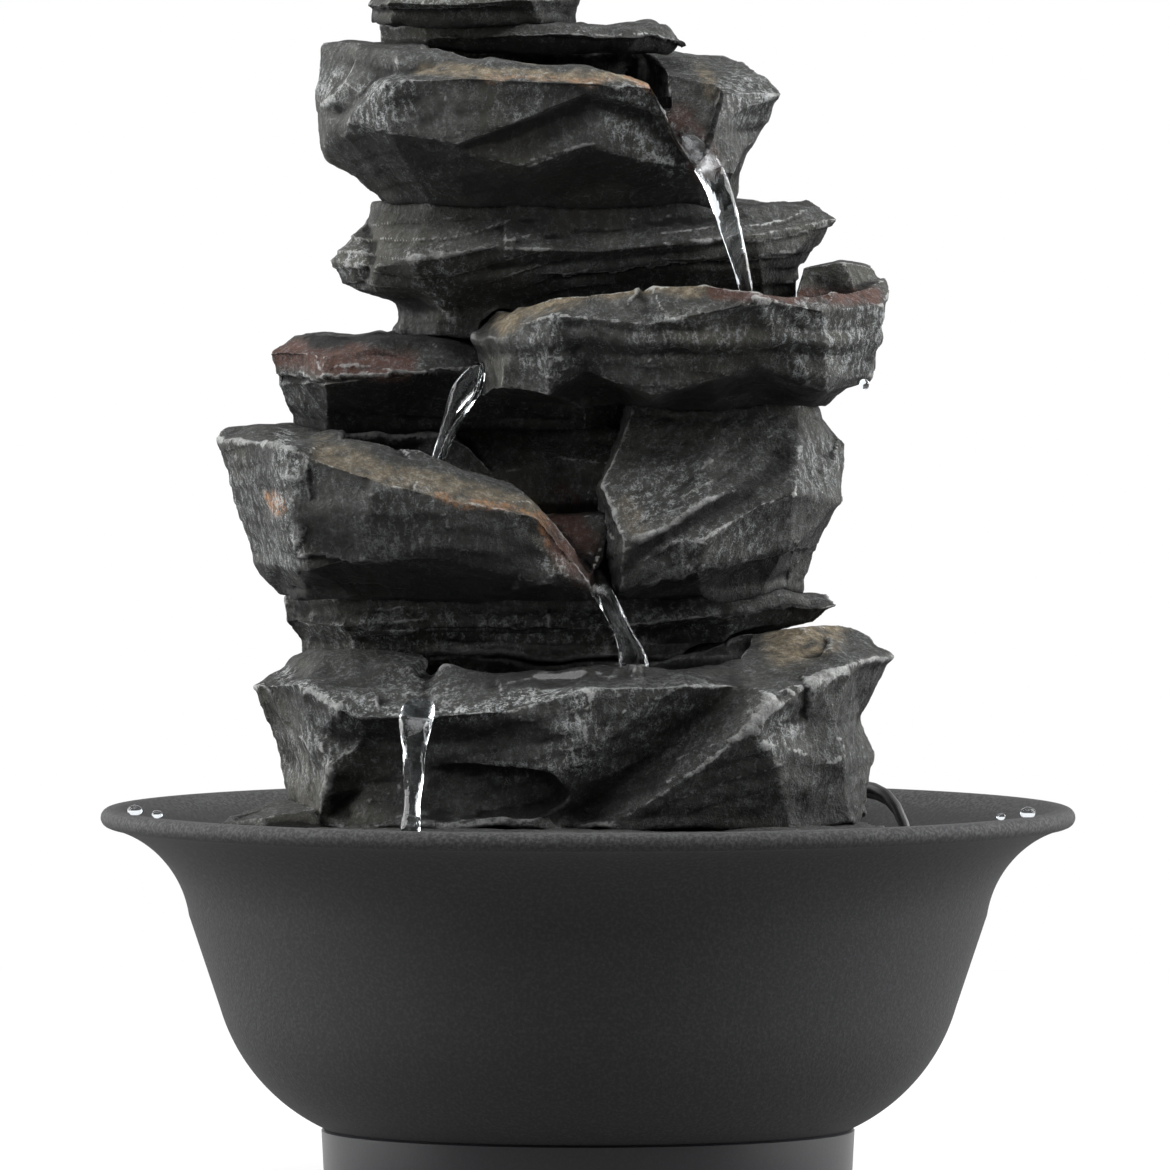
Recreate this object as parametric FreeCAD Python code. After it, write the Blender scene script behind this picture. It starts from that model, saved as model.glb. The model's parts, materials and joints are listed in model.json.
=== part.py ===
import FreeCAD, Part
import math
import os

# Tabletop rock-cascade fountain. Millimetres, +Z up, front toward -Y, origin under the middle of the foot.

# Bowl and foot
rim_radius = 105.0
bowl_height = 69.0
bowl_wall = 2.8
bowl_floor = 3.0
lip_thickness = 4.0
foot_radius = 57.5
foot_height = 14.0
foot_wall = 10.0
foot_flare = 0.6
lower_radius = 71.3
lower_rise = 11.0
belly_radius = 79.3
belly_rise = 26.0
waist_radius = 86.0
waist_rise = 46.0
throat_radius = 90.8
throat_rise = 57.0
pad_count = 4
pad_radius = 4.0
pad_height = 1.5

# Rock tower: height of each stone from its bed to the bed of the stone above
deck_drop = 2.0
deck_thickness = 9.0
deck_margin = 3.0
shore_depth = 4.0
leg_width = 10.0
base_stone_height = 35.0
lower_strata_height = 13.0
left_basin_height = 35.0
buttress_height = 41.0
left_shelf_height = 20.5
mid_strata_height = 28.5
upper_basin_height = 33.0
cap_slab_height = 5.5
crown_height = 21.5
base_pool_depth = 9.0
left_pool_depth = 17.0
upper_pool_depth = 12.0

# Riser hose
hose_x = -2.0
hose_y = 14.0
hose_bore = 10.1
hose_wall = 1.5
hose_gap = 0.5
outlet_flange_radius = 8.5
outlet_flange_height = 2.0
outlet_bore = 7.0

# Pump, axis along X
pump_side = 30.0
body_length = 28.0
body_wall = 2.0
chamber_length = 18.0
chamber_radius = 11.0
chamber_front_wall = 4.0
inlet_radius = 4.5
spigot_radius = 5.0
spigot_bore = 7.0
spigot_height = 18.0
cover_length = 8.0
cover_wall = 1.6
cover_pull = 14.0
dial_radius = 9.0
dial_thickness = 2.0
stub_radius = 2.0
well_radius = 6.6
well_wall = 1.4
well_depth = 14.5
magnet_radius = 6.1
magnet_length = 10.5
impeller_radius = 9.0
impeller_length = 8.0
blade_count = 6
blade_thickness = 1.2
shaft_radius = 1.0
bush_radius = 2.0
bush_length = 2.6
running_gap = 0.05
press_gap = 0.02
core_depth = 12.0
core_leg = 4.2
coil_depth = 18.0
cup_height = 5.0
cup_radius = 6.0
gland_length = 20.0
gland_radius = 5.0

# Lead
cord_diameter = 4.4
coil_radius = 33.0
coil_pitch = 5.1
coil_layer = 5.0
coil_turns = 7
coil_x = 8.0
coil_y = 100.0
tie_thickness = 0.7
plug_length = 36.0
plug_relief = 16.0
plug_width = 18.0
plug_height = 13.0
blade_length = 16.0
blade_width = 6.3
blade_gauge = 1.5
blade_spacing = 12.7

# Levels worked out from the sizes above
floor_level = foot_height + bowl_floor
rim_level = foot_height + bowl_height
deck_level = rim_level - deck_drop
strata_level = deck_level + base_stone_height
basin_level = strata_level + lower_strata_height
shelf_level = basin_level + left_basin_height
ledge_level = basin_level + buttress_height
mid_level = shelf_level + left_shelf_height
upper_level = mid_level + mid_strata_height
slab_level = upper_level + upper_basin_height
crown_level = slab_level + cap_slab_height
crown_top = crown_level + crown_height
upper_pool_floor = slab_level - upper_pool_depth
axis_level = floor_level + cup_height + pump_side / 2
body_front = hose_x + chamber_length / 2 + 1.0
body_back = body_front + body_length
chamber_front = body_front - chamber_length
cover_front = chamber_front - cover_length
well_end = body_front + body_wall + well_depth
spigot_top = axis_level + pump_side / 2 + spigot_height
hose_radius = hose_bore / 2 + hose_wall
coil_level = 0.2 + tie_thickness + cord_diameter / 2

X_AXIS = FreeCAD.Vector(1, 0, 0)
Y_AXIS = FreeCAD.Vector(0, 1, 0)
FRONT = FreeCAD.Vector(0, -1, 0)
Z_AXIS = FreeCAD.Vector(0, 0, 1)
BACK_POINTS = 5


def vec(x, y, z):
    """One point in millimetres."""
    return FreeCAD.Vector(x, y, z)


def box(x0, x1, y0, y1, z0, z1):
    """A block between two corners."""
    return Part.makeBox(x1 - x0, y1 - y0, z1 - z0, vec(x0, y0, z0))


def rod(radius, start, axis, length):
    """A solid cylinder from a start point along an axis."""
    return Part.makeCylinder(radius, length, start, axis)


def largest(shape):
    """The biggest solid of a cut shape."""
    return max(shape.Solids, key=lambda solid: solid.Volume)


def polygon_prism(corners, bottom, top):
    """A straight-sided block over a plan outline."""
    points = [vec(x, y, bottom) for x, y in corners]
    face = Part.Face(Part.makePolygon(points + points[:1]))
    return face.extrude(vec(0, 0, top - bottom))


def ring(level, front, back_depth, back_rise):
    """One course of a stone: front corners left to right, then a rough half ellipse behind."""
    points = [vec(x, y, level + rise) for x, y, rise in front]
    left, right = points[0], points[-1]
    middle = (left + right) * 0.5
    reach = (right - left) * 0.5
    for i in range(BACK_POINTS):
        angle = math.pi * (i + 1) / (BACK_POINTS + 1)
        swell = 1.0 + 0.06 * math.sin(3.1 * i + 0.09 * back_depth)
        x = middle.x + reach.x * math.cos(angle) * swell
        y = middle.y + reach.y * math.cos(angle) + back_depth * math.sin(angle) * swell
        end = middle.z + reach.z * math.cos(angle)
        points.append(vec(x, y, end + (level + back_rise - end) * math.sin(angle)))
    return points


def triangle(a, b, c):
    """One flat facet."""
    return Part.Face(Part.makePolygon([a, b, c, a]))


def faceted_rock(rings, peak=None):
    """A closed stone from courses of equal corner count, flat below, capped flat or to a peak."""
    faces = [Part.Face(Part.makePolygon(rings[0] + rings[0][:1]))]
    count = len(rings[0])
    for lower, upper in zip(rings, rings[1:]):
        for i in range(count):
            j = (i + 1) % count
            if (lower[i] - upper[j]).Length < (lower[j] - upper[i]).Length:
                faces.append(triangle(lower[i], lower[j], upper[j]))
                faces.append(triangle(lower[i], upper[j], upper[i]))
            else:
                faces.append(triangle(lower[i], lower[j], upper[i]))
                faces.append(triangle(lower[j], upper[j], upper[i]))
    top = rings[-1]
    if peak is None:
        faces.append(Part.Face(Part.makePolygon(top + top[:1])))
    else:
        for i in range(count):
            faces.append(triangle(top[i], top[(i + 1) % count], peak))
    solid = Part.makeSolid(Part.makeShell(faces))
    if solid.Volume < 0:
        solid.reverse()
    return solid


def channel(start, end, half_width, rise, out=Z_AXIS):
    """A V-shaped channel between two floor points, open towards one direction."""
    along = (end - start).normalize()
    side = along.cross(out).normalize() * half_width
    up = out * rise
    wires = []
    for foot in (start, end):
        corners = [foot, foot + side + up, foot - side + up, foot]
        wires.append(Part.makePolygon(corners))
    return Part.makeLoft(wires, True, True)


def hose_bore_tool():
    """The hole for the riser, through every stone it passes."""
    bottom = deck_level - deck_thickness - 5.0
    return rod(hose_radius + hose_gap, vec(hose_x, hose_y, bottom), Z_AXIS, slab_level - bottom - 2.0)


def bowl_inside():
    """Inner profile of the bowl from the lip down to its floor, in the XZ plane."""
    base = foot_height
    inner = [
        (rim_radius - lip_thickness, rim_level),
        (throat_radius - bowl_wall, base + throat_rise + 1.6),
        (waist_radius - bowl_wall, base + waist_rise),
        (belly_radius - bowl_wall, base + belly_rise),
        (lower_radius - 0.75 * bowl_wall, base + lower_rise + 0.75 * bowl_floor),
        (foot_radius - 3.0, floor_level),
    ]
    points = [vec(r, 0, z) for r, z in inner]
    return [
        Part.Arc(points[0], points[1], points[2]).toShape(),
        Part.LineSegment(points[2], points[3]).toShape(),
        Part.Arc(points[3], points[4], points[5]).toShape(),
    ]


def inside_radius(level):
    """Radius of the bowl's inner face at a level."""
    ray = Part.LineSegment(vec(0, 0, level), vec(2 * rim_radius, 0, level)).toShape()
    gaps = [edge.distToShape(ray) for edge in bowl_inside()]
    return max(places[0][0].x for gap, places, _ in gaps if gap < 0.001)


def make_bowl():
    """Bowl of revolution: rounded bottom, near-straight side, flared throat and rounded lip."""
    base = foot_height
    outer = [
        (foot_radius, base),
        (lower_radius, base + lower_rise),
        (belly_radius, base + belly_rise),
        (waist_radius, base + waist_rise),
        (throat_radius, base + throat_rise),
        (rim_radius - lip_thickness / 2, rim_level - lip_thickness),
    ]
    out = [vec(r, 0, z) for r, z in outer]
    lip_tip = vec(rim_radius, 0, rim_level - lip_thickness * 0.55)
    lip_top = vec(rim_radius - lip_thickness / 2, 0, rim_level)
    lip_inside = vec(rim_radius - lip_thickness, 0, rim_level)
    edges = [
        Part.LineSegment(vec(0, 0, base), out[0]).toShape(),
        Part.Arc(out[0], out[1], out[2]).toShape(),
        Part.LineSegment(out[2], out[3]).toShape(),
        Part.Arc(out[3], out[4], out[5]).toShape(),
        Part.Arc(out[5], lip_tip, lip_top).toShape(),
        Part.LineSegment(lip_top, lip_inside).toShape(),
    ]
    edges += bowl_inside()
    edges.append(Part.LineSegment(vec(foot_radius - 3.0, 0, floor_level), vec(0, 0, floor_level)).toShape())
    edges.append(Part.LineSegment(vec(0, 0, floor_level), vec(0, 0, base)).toShape())
    return Part.Face(Part.Wire(edges)).revolve(vec(0, 0, 0), Z_AXIS, 360)


def make_foot_ring():
    """Plinth ring that the bowl stands on, slightly narrower at the table."""
    corners = [
        (foot_radius - foot_wall, pad_height),
        (foot_radius - foot_flare - 1.0, pad_height),
        (foot_radius - foot_flare, pad_height + 1.0),
        (foot_radius, foot_height),
        (foot_radius - foot_wall, foot_height),
    ]
    points = [vec(r, 0, z) for r, z in corners]
    return Part.Face(Part.makePolygon(points + points[:1])).revolve(vec(0, 0, 0), Z_AXIS, 360)


def make_foot_pads():
    """Round pads under the plinth, evenly spaced."""
    reach = foot_radius - foot_wall / 2
    pads = []
    for i in range(pad_count):
        angle = 2 * math.pi * (i + 0.5) / pad_count
        centre = vec(reach * math.cos(angle), reach * math.sin(angle), 0)
        pads.append(rod(pad_radius, centre, Z_AXIS, pad_height))
    return pads


def make_deck_stone():
    """Apron across the front of the bowl mouth, with a shore ridge on the left and four legs."""
    rear = [(65, -48), (61, -20), (58, 2), (46, 28), (20, 42), (-20, 42), (-50, 28), (-67, 4)]
    rings = []
    for share, drop in ((0.92, deck_thickness), (0.97, 0.6 * deck_thickness), (1.0, 1.5), (0.985, 0.0)):
        level = deck_level - drop
        edge = inside_radius(level) - deck_margin
        course = []
        for degrees in (204, 219, 232, 247, 261, 276, 290, 303, 313):
            angle = math.radians(degrees)
            course.append(vec(edge * math.cos(angle), edge * math.sin(angle), level))
        course += [vec(x * share, y * share, level) for x, y in rear]
        rings.append(course)
    slab = faceted_rock(rings)
    reach = inside_radius(deck_level - shore_depth) - deck_margin
    tip = vec(reach * math.cos(math.radians(203)), reach * math.sin(math.radians(203)), 0)
    shore_low = [(tip.x, tip.y), (-70, -44), (-57, -40), (-54, -14), (-64, -2), (-74, -14)]
    shore_high = [(tip.x + 3.5, tip.y + 0.5, 1.2), (-70, -40, 2.2), (-58, -36, 4.2), (-57, -16, 6.0),
                  (-64, -6, 5.0), (-73, -17, 2.4)]
    low = [vec(x, y, deck_level - shore_depth) for x, y in shore_low]
    high = [vec(x, y, deck_level + z) for x, y, z in shore_high]
    shore = faceted_rock([low, high], vec(-65, -24, deck_level + 4.2))
    under = deck_level - deck_thickness
    legs = []
    around = ((-1, -1), (1, -1), (1, 1), (-1, 1))
    half = leg_width / 2
    spread = half + 2.0
    for x, y in ((-30, -32), (30, -32), (-20, 40), (20, 40)):
        foot = [vec(x + sx * half, y + sy * half, floor_level) for sx, sy in around]
        head = [vec(x + sx * spread, y + sy * spread, under + 1.0) for sx, sy in around]
        legs.append(faceted_rock([foot, head]))
    return slab.fuse([shore] + legs).removeSplitter()


def make_base_stone():
    """Lowest stone: wide ledge, pool behind a low rim, overflow at the front left."""
    seat, top = deck_level, strata_level
    foot = [(-64.7, -8, 0), (-58, -34, 0), (-47, -43, 0), (-36.5, -47, 0), (-19, -50, 0),
            (-2, -50, 0), (20, -49, 0), (43.5, -43, 0), (56, -30, 0), (59.5, -6, 0)]
    belly = [(-66.6, -8, 12.8), (-55.4, -43, 13.2), (-47, -40, 9), (-36.5, -44, 12), (-19, -49, 12),
             (-5, -54, 12.5), (18, -53, 10.5), (40, -50, 14), (54.5, -36, 14.4), (61.7, -8, 14.4)]
    waist = [(-69.6, -9, 21.2), (-59.5, -38, 21), (-47.5, -45, 18.5), (-36.5, -47, 19), (-19, -51, 19),
             (-2, -55, 19.5), (20, -52, 18.5), (35, -53, 22), (53, -37, 22.5), (59.2, -8, 22)]
    ridge = [(-72.6, -10, -6.2), (-62.5, -38, -4.3), (-49, -50, -11.4), (-36.5, -53, -10.7),
             (-18.8, -54, -9.5), (1, -55, -4.4), (22, -52, -4.3), (41, -51, -6.5),
             (55.4, -36, -0.6), (65.7, -10, -0.2)]
    rim = [(-62, 2, 0.3), (-55.4, -18, 1.2), (-40.3, -32, -0.7), (-31.7, -36, -1.2), (-18.8, -41, -2.5),
           (0.5, -42, -1.4), (22, -40, -1.7), (37, -34, -0.4), (45.7, -18, 7.2), (56.5, 0, 6.9)]
    rings = [ring(seat, foot, 46, 0), ring(seat, belly, 48, 13), ring(seat, waist, 49, 21),
             ring(top, ridge, 50, -6), ring(top, rim, 44, 0)]
    stone = faceted_rock(rings, vec(0, 5, top))
    pool = [(-34, -29), (-18, -35), (0, -37), (21, -35), (33, -29), (35, -12), (-36, -12)]
    stone = stone.cut(polygon_prism(pool, top - base_pool_depth, top + 20))
    spill = [channel(vec(-33, -27, top - 2.6), vec(-35, -38, top - 3.4), 7.0, 4.0),
             channel(vec(-34.5, -36.5, top - 3.2), vec(-37, -60, top - 16.5), 7.0, 3.0)]
    trench = channel(vec(-5, -46.0, seat - 0.5), vec(34, -45.0, seat + 32.5), 14.0, 13.0, FRONT)
    hollow = [(-53, 11.5), (-40, 12.8), (-25, 13.2), (-8, 12.0), (-4, 6.5), (-12, 2.5), (-52, 2.0)]
    points = [vec(x, -44.5, seat + z) for x, z in hollow]
    recess = Part.Face(Part.makePolygon(points + points[:1])).extrude(FRONT * 20.0)
    return largest(stone.cut(spill + [trench, recess]))


def make_lower_strata():
    """Thin layered stone between the lowest pool and the two stones above."""
    seat, top = strata_level, basin_level
    foot = [(-61, 5, 0), (-49, -10, 0), (-34, -13, 0), (-14.5, -15, 0), (7, -14, 0),
            (28.5, -10, 0), (43.6, 4, 0)]
    edge = [(-66.4, 2, 7), (-53, -15, 6), (-36, -18, 6), (-14.5, -18, 6), (7, -16, 7),
            (30.7, -18, 9), (54, -6, 11)]
    head = [(-65, 4, 0), (-55, -9, 0), (-36, -13, 0), (-14.5, -11, 0), (7, -10, 0),
            (30.7, -13, 0), (51, 0, 0)]
    return faceted_rock([ring(seat, foot, 40, 0), ring(seat, edge, 42, 7), ring(top, head, 40, 0)])


def make_left_basin_stone():
    """Big stone on the left with a pool that empties down a chute at its right end."""
    seat, top = basin_level, shelf_level
    foot = [(-66, 0, 0), (-61, -16, 0), (-49, -26, 0), (-30, -28, 0), (-10, -26, 0), (4, -22, 0), (7, 0, 0)]
    lower = [(-72.6, -4, 7), (-60.4, -38, 6), (-48, -44, 9), (-29.6, -45, 8.5), (-10, -42, 4.2),
             (1.6, -38, 2.2), (7, -10, 4)]
    ridge = [(-80, -6, -0.5), (-64.7, -40, -2.2), (-45.7, -48, -8.3), (-29.6, -49, -12.5),
             (-10.2, -45, -16.3), (0.5, -40, -30.2), (7, -10, -12)]
    rim = [(-76, 6, 0.5), (-62, -30, -1), (-45.7, -38, -2), (-29.6, -38, -5.5), (-13.5, -36, -11.3),
           (1, -28, -27), (7, 0, 0)]
    rings = [ring(seat, foot, 42, 0), ring(seat, lower, 44, 7), ring(top, ridge, 44, -4),
             ring(top, rim, 40, 0)]
    stone = faceted_rock(rings, vec(-30, 8, top))
    pool = [(-54, -25), (-40, -31), (-28, -31), (-14, -29), (2, -20), (9, -8), (-6, -3), (-52, -5)]
    stone = stone.cut(polygon_prism(pool, top - left_pool_depth, top + 20))
    chute = channel(vec(-6, -12, top - 14.0), vec(1.5, -44, top - 32.0), 7.0, 24.0)
    return largest(stone.cut(chute))


def make_buttress_stone():
    """Tall block on the right that carries the right basin."""
    seat, top = basin_level, ledge_level
    foot = [(2, -5, 0), (8, -25, 0), (24, -22, 0), (37, -14, 0), (46, 2, 0)]
    lower = [(2, -8, 4), (7, -36, 2.5), (24, -35, 5.5), (43.6, -20, 10.8), (50, 0, 12)]
    ridge = [(2, -12, 21), (7.5, -38, 13), (25, -40, 17), (44.6, -26, 22.7), (55.4, -4, 20)]
    shoulder = [(2, -10, -17), (3, -27, -16.5), (25, -26, -13.5), (45.7, -15, -8), (56, 3, -8.5)]
    head = [(8, 0, 0), (10, -12, 0), (28, -14, 0), (45, -10, 0), (49, 4, 0)]
    rings = [ring(seat, foot, 40, 0), ring(seat, lower, 42, 8), ring(seat, ridge, 42, 20),
             ring(top, shoulder, 42, -10), ring(top, head, 36, 0)]
    grooves = [channel(vec(3, -35.5, seat + 3.0), vec(17, -36.8, seat + 14.0), 10.0, 9.0, FRONT),
               channel(vec(16, -37.2, seat + 13.2), vec(43, -21.5, seat + 29.0), 10.0, 12.0, FRONT)]
    return largest(faceted_rock(rings).cut(grooves))


def make_left_shelf_stone():
    """Flat ledge on the left, at the back of the left pool."""
    seat, top = shelf_level, mid_level
    foot = [(-63, 8, 0), (-56, -2, 0), (-40, -4, 0), (-20, -4, 0), (0, -2, 0), (10, 6, 0)]
    lower = [(-67.5, 0, 10), (-57, -20, 10.5), (-43, -22, 12), (-30, -20, 13.5), (-10, -8, 12), (8, 2, 12)]
    upper = [(-69, -2, -2.5), (-57, -18, -3), (-43, -17, -1.2), (-28, -13, -1.5), (-10, -6, -4), (8, 2, -4)]
    head = [(-62, 6, 0), (-50, -8, 0), (-40, -8, 0), (-28, -6, 0), (-10, 0, 0), (6, 8, 0)]
    rings = [ring(seat, foot, 34, 0), ring(seat, lower, 36, 10), ring(top, upper, 36, -3),
             ring(top, head, 32, 0)]
    return faceted_rock(rings)


def make_right_basin_stone():
    """Overhanging stone on the right with a pool that spills over its left end."""
    seat, top = ledge_level, mid_level
    foot = [(-10, 0, 0), (-4, -10, 0), (2, -13, 0), (8, -14, 0), (16, -14, 0), (28, -16, 0),
            (40, -13, 0), (47, -8, 0), (50, 0, 0), (50, 8, 0)]
    lower = [(-23, -14, 1.5), (-19, -30, 4), (-8.5, -37, 3), (-1, -36, 8.2), (13.5, -39, 2.4),
             (26, -38, 6), (36, -36, 8.5), (51, -31, 3.6), (60.5, -16, 5.5), (61.5, 0, 8)]
    ridge = [(-25, -16, 1.5), (-17, -34, 3.4), (-8, -41, 6.1), (1, -42.5, 5.2), (12.5, -44.5, 4.1),
             (25, -46, 6.6), (37.5, -44, 9.4), (51, -37, 6.6), (63.5, -20, 7.5), (65.5, -4, 11)]
    rim = [(-20, -10, 5), (-14, -27, 7.8), (-6, -34, 10.2), (2, -37, 11), (12.5, -39, 11.7),
           (25, -41, 13.2), (34.5, -40.5, 11), (50, -33, 10.8), (60, -18, 11), (64, -2, 13)]
    rings = [ring(seat, foot, 34, 0), ring(seat, lower, 36, 4), ring(top, ridge, 38, -4),
             ring(top, rim, 36, 0)]
    stone = faceted_rock(rings, vec(20, 5, top))
    pool = [(-14, -21), (-4, -28), (12, -33), (26, -36), (38, -35), (46, -27), (48, -10), (47, 60),
            (-30, 60), (-18, -8)]
    stone = stone.cut(polygon_prism(pool, top, top + 30))
    low = [(43, -18), (60, -15), (64, -4), (60, 14), (44, 18)]
    high = [(46, -11, 15.6), (55, -12, 17), (62, -4, 15), (58, 8, 15.5), (46, 10, 15)]
    knob = faceted_rock([[vec(x, y, top + 4.0) for x, y in low], [vec(x, y, top + z) for x, y, z in high]],
                        vec(54, -2, top + 17.0))
    return largest(stone.fuse(knob).removeSplitter())


def make_mid_strata():
    """Layered stone behind the right pool, with a nose on the left and a ledge on the right."""
    seat, top = mid_level, upper_level
    foot = [(-42, 6, 0), (-40, -4, 0), (-33, -11, 0), (-24, -12, 0), (0, -13, 0), (24, -12, 0),
            (38, -8, 0), (46, 6, 0)]
    neck = [(-42.5, 5, 6.5), (-40, -6, 6.5), (-31, -13, 6.5), (-23, -14, 7), (0, -15, 7),
            (24, -14, 8), (38, -10, 9), (46, 5, 9)]
    lower = [(-53, 0, 10.5), (-46, -10, 9.5), (-34, -16, 9.5), (-22, -19, 11.5), (0, -20, 12.5),
             (24, -20, 13.5), (38, -16, 14.5), (46, 4, 14.5)]
    upper = [(-56, 0, 16.5), (-46, -14, 15.5), (-38, -21.5, 17), (-22, -25, 20), (2, -24.5, 19),
             (24, -24.5, 21.5), (36, -20, 22.5), (54, -4, 25.4)]
    head = [(-46, 4, 0), (-42, -8, 0), (-34, -16, 0), (-20, -18, 0), (2, -18, 0), (24, -16, 0),
            (34, -12, 0), (46, 2, 0)]
    rings = [ring(seat, foot, 32, 0), ring(seat, neck, 31, 6), ring(seat, lower, 32, 11),
             ring(seat, upper, 34, 20), ring(top, head, 32, 0)]
    return faceted_rock(rings)


def make_upper_basin_stone():
    """Top pool stone with a steep chute at its right front."""
    seat, top = upper_level, slab_level
    foot = [(-43.5, 2, 0), (-41, -10, 0), (-34, -16, 0), (-24, -19, 0), (-8, -20, 0), (2, -20, 0),
            (14, -18, 0), (24, -14, 0), (29, -8, 0), (31.5, 4, 0)]
    lower = [(-56, -4, 10), (-52, -21.5, 16), (-41.5, -31, 13.7), (-28.5, -34.8, 11.6), (-12.4, -36.6, 8.4),
             (-0.5, -36.4, 13.3), (11.3, -33.4, 9.5), (23.5, -30, 7.2), (31.7, -20, 7), (34, 0, 11)]
    under = [(-57, -4.5, 14), (-52, -22, 17), (-42, -31.4, 14.6), (-28.2, -35.0, 12.3),
             (-11.5, -35.6, 18.2), (0.3, -36.2, 22.8), (12.5, -34.4, 19), (23.5, -30.6, 7.3),
             (30.5, -21.6, 17), (37, -1.5, 16)]
    step = [(-57.2, -4.6, 15.2), (-51.8, -24, 18), (-42.3, -34.8, 15.6), (-28, -39, 13.2),
            (-11.2, -40, 19.2), (0.6, -40.4, 23.8), (12.9, -36.4, 20.4), (23.5, -31.2, 7.5),
            (30, -22.4, 18.6), (38.5, -2.4, 18)]
    ridge = [(-58.5, -5, -9), (-50.7, -26, -12.6), (-43.6, -36, -5.8), (-27.4, -41, -4.7),
             (-10.2, -42, -5.5), (1.6, -42, -6), (14.5, -38, -6.9), (23.5, -32, -25.3),
             (28.5, -24, -7.7), (41.9, -4, -9)]
    rim = [(-57, 3, 1.2), (-49, -14, 1), (-40, -24, 1), (-27, -32, -1.6), (-10, -34, -2), (2, -33, -2.5),
           (13, -29, -5.8), (24, -22, -22), (27, -14, -6), (38, 2, -5)]
    rings = [ring(seat, foot, 30, 0), ring(seat, lower, 32, 10), ring(seat, under, 31.5, 15),
             ring(seat, step, 33, 16), ring(top, ridge, 34, -8), ring(top, rim, 30, 0)]
    stone = faceted_rock(rings, vec(-8, 8, top))
    pool = [(-36, -18), (-26, -26), (-10, -28), (2, -27), (11, -22), (17, -12), (16, 2), (9, 23),
            (-13, 23), (-34, -2)]
    stone = stone.cut(polygon_prism(pool, upper_pool_floor, top + 20))
    chute = channel(vec(11, -8, upper_pool_floor + 1.0), vec(25, -38, seat + 6.5), 6.0, 26.0)
    return largest(stone.cut(chute))


def make_cap_slab():
    """Thin slab that roofs the back of the top pool."""
    seat, top = slab_level, crown_level
    foot = [(-44, 8, 0), (-34, -4, 0), (-10, -10, 0), (8, -10, 0), (16, 2, 0)]
    edge = [(-45, 7, 2.5), (-35, -7, 2.5), (-8, -17, 3.5), (12, -15, 3), (22, -2, 2.5)]
    head = [(-44.5, 7, 0), (-35, -5, 0), (-8, -13, 0), (8, -11, 0), (16, 0, 0)]
    return faceted_rock([ring(seat, foot, 24, 0), ring(seat, edge, 26, 3.5), ring(top, head, 24, 0)])


def make_crown_stone():
    """Topmost stone, rising to a blunt peak."""
    seat, top = crown_level, crown_top
    foot = [(-46, 6, 0), (-42, -8, 0), (-26, -14, 0), (-10, -10, 0), (-3, 4, 0)]
    lower = [(-48.5, 4, 4), (-44, -14, 5), (-26, -20, 4.5), (-12, -16, 5.5), (-1, -2, 6.5)]
    upper = [(-44, 4, 11), (-38, -10, 10.5), (-26, -15, 11.5), (-14, -12, 10.5), (-6, 0, 10.5)]
    head = [(-36, 6, -4), (-34, -4, -3), (-26, -8, -1), (-18, -6, -2), (-14, 4, -4)]
    rings = [ring(seat, foot, 18, 0), ring(seat, lower, 20, 5), ring(seat, upper, 17, 10),
             ring(top, head, 10, -3)]
    return faceted_rock(rings, vec(-25, 6, top))


def make_stones():
    """All stones of the tower, each bedded on those below it and bored for the riser."""
    makers = [
        ("base_stone", make_base_stone),
        ("deck_stone", make_deck_stone),
        ("lower_strata", make_lower_strata),
        ("left_basin_stone", make_left_basin_stone),
        ("buttress_stone", make_buttress_stone),
        ("left_shelf_stone", make_left_shelf_stone),
        ("right_basin_stone", make_right_basin_stone),
        ("mid_strata", make_mid_strata),
        ("upper_basin_stone", make_upper_basin_stone),
        ("cap_slab", make_cap_slab),
        ("crown_stone", make_crown_stone),
    ]
    bore = hose_bore_tool()
    stones = {}
    for name, maker in makers:
        stone = maker().cut(bore)
        if stones:
            stone = stone.cut(list(stones.values()))
        stones[name] = largest(stone)
    return stones


def make_hose():
    """Vinyl riser from the pump spigot to the floor of the top pool."""
    bottom = axis_level + pump_side / 2 + 3.0
    start = vec(hose_x, hose_y, bottom)
    length = upper_pool_floor - bottom
    tube = rod(hose_radius, start, Z_AXIS, length)
    return tube.cut(rod(hose_bore / 2, start, Z_AXIS, length))


def make_hose_outlet():
    """Flanged bush on the floor of the top pool, with a barrel inside the hose."""
    floor = vec(hose_x, hose_y, upper_pool_floor)
    flange = rod(outlet_flange_radius, floor, Z_AXIS, outlet_flange_height)
    barrel = rod(hose_bore / 2 - press_gap, floor - vec(0, 0, 12.0), Z_AXIS, 12.0)
    hole = rod(outlet_bore / 2, floor - vec(0, 0, 12.0), Z_AXIS, 12.0 + outlet_flange_height)
    return flange.fuse(barrel).cut(hole).removeSplitter()


def pump_block(x0, x1, margin):
    """A square block on the pump axis, smaller than the pump side by a margin all round."""
    half = pump_side / 2 - margin
    return box(x0, x1, hose_y - half, hose_y + half, axis_level - half, axis_level + half)


def on_axis(x):
    """A point on the pump axis."""
    return vec(x, hose_y, axis_level)


def well_tube(radius, length):
    """A cylinder on the rotor well axis, from the front of the motor housing."""
    return rod(radius, on_axis(body_front), X_AXIS, length)


def make_core():
    """U-shaped lamination stack: two legs beside the rotor well and a yoke behind it."""
    z0, z1 = axis_level - core_depth / 2, axis_level + core_depth / 2
    inside = well_radius + well_wall + 0.2
    outside = inside + core_leg
    front, back = body_front + body_wall + 2.0, body_back - 3.0
    whole = box(front, back, hose_y - outside, hose_y + outside, z0, z1)
    return whole.cut(box(front, back - core_leg, hose_y - inside, hose_y + inside, z0, z1))


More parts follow.
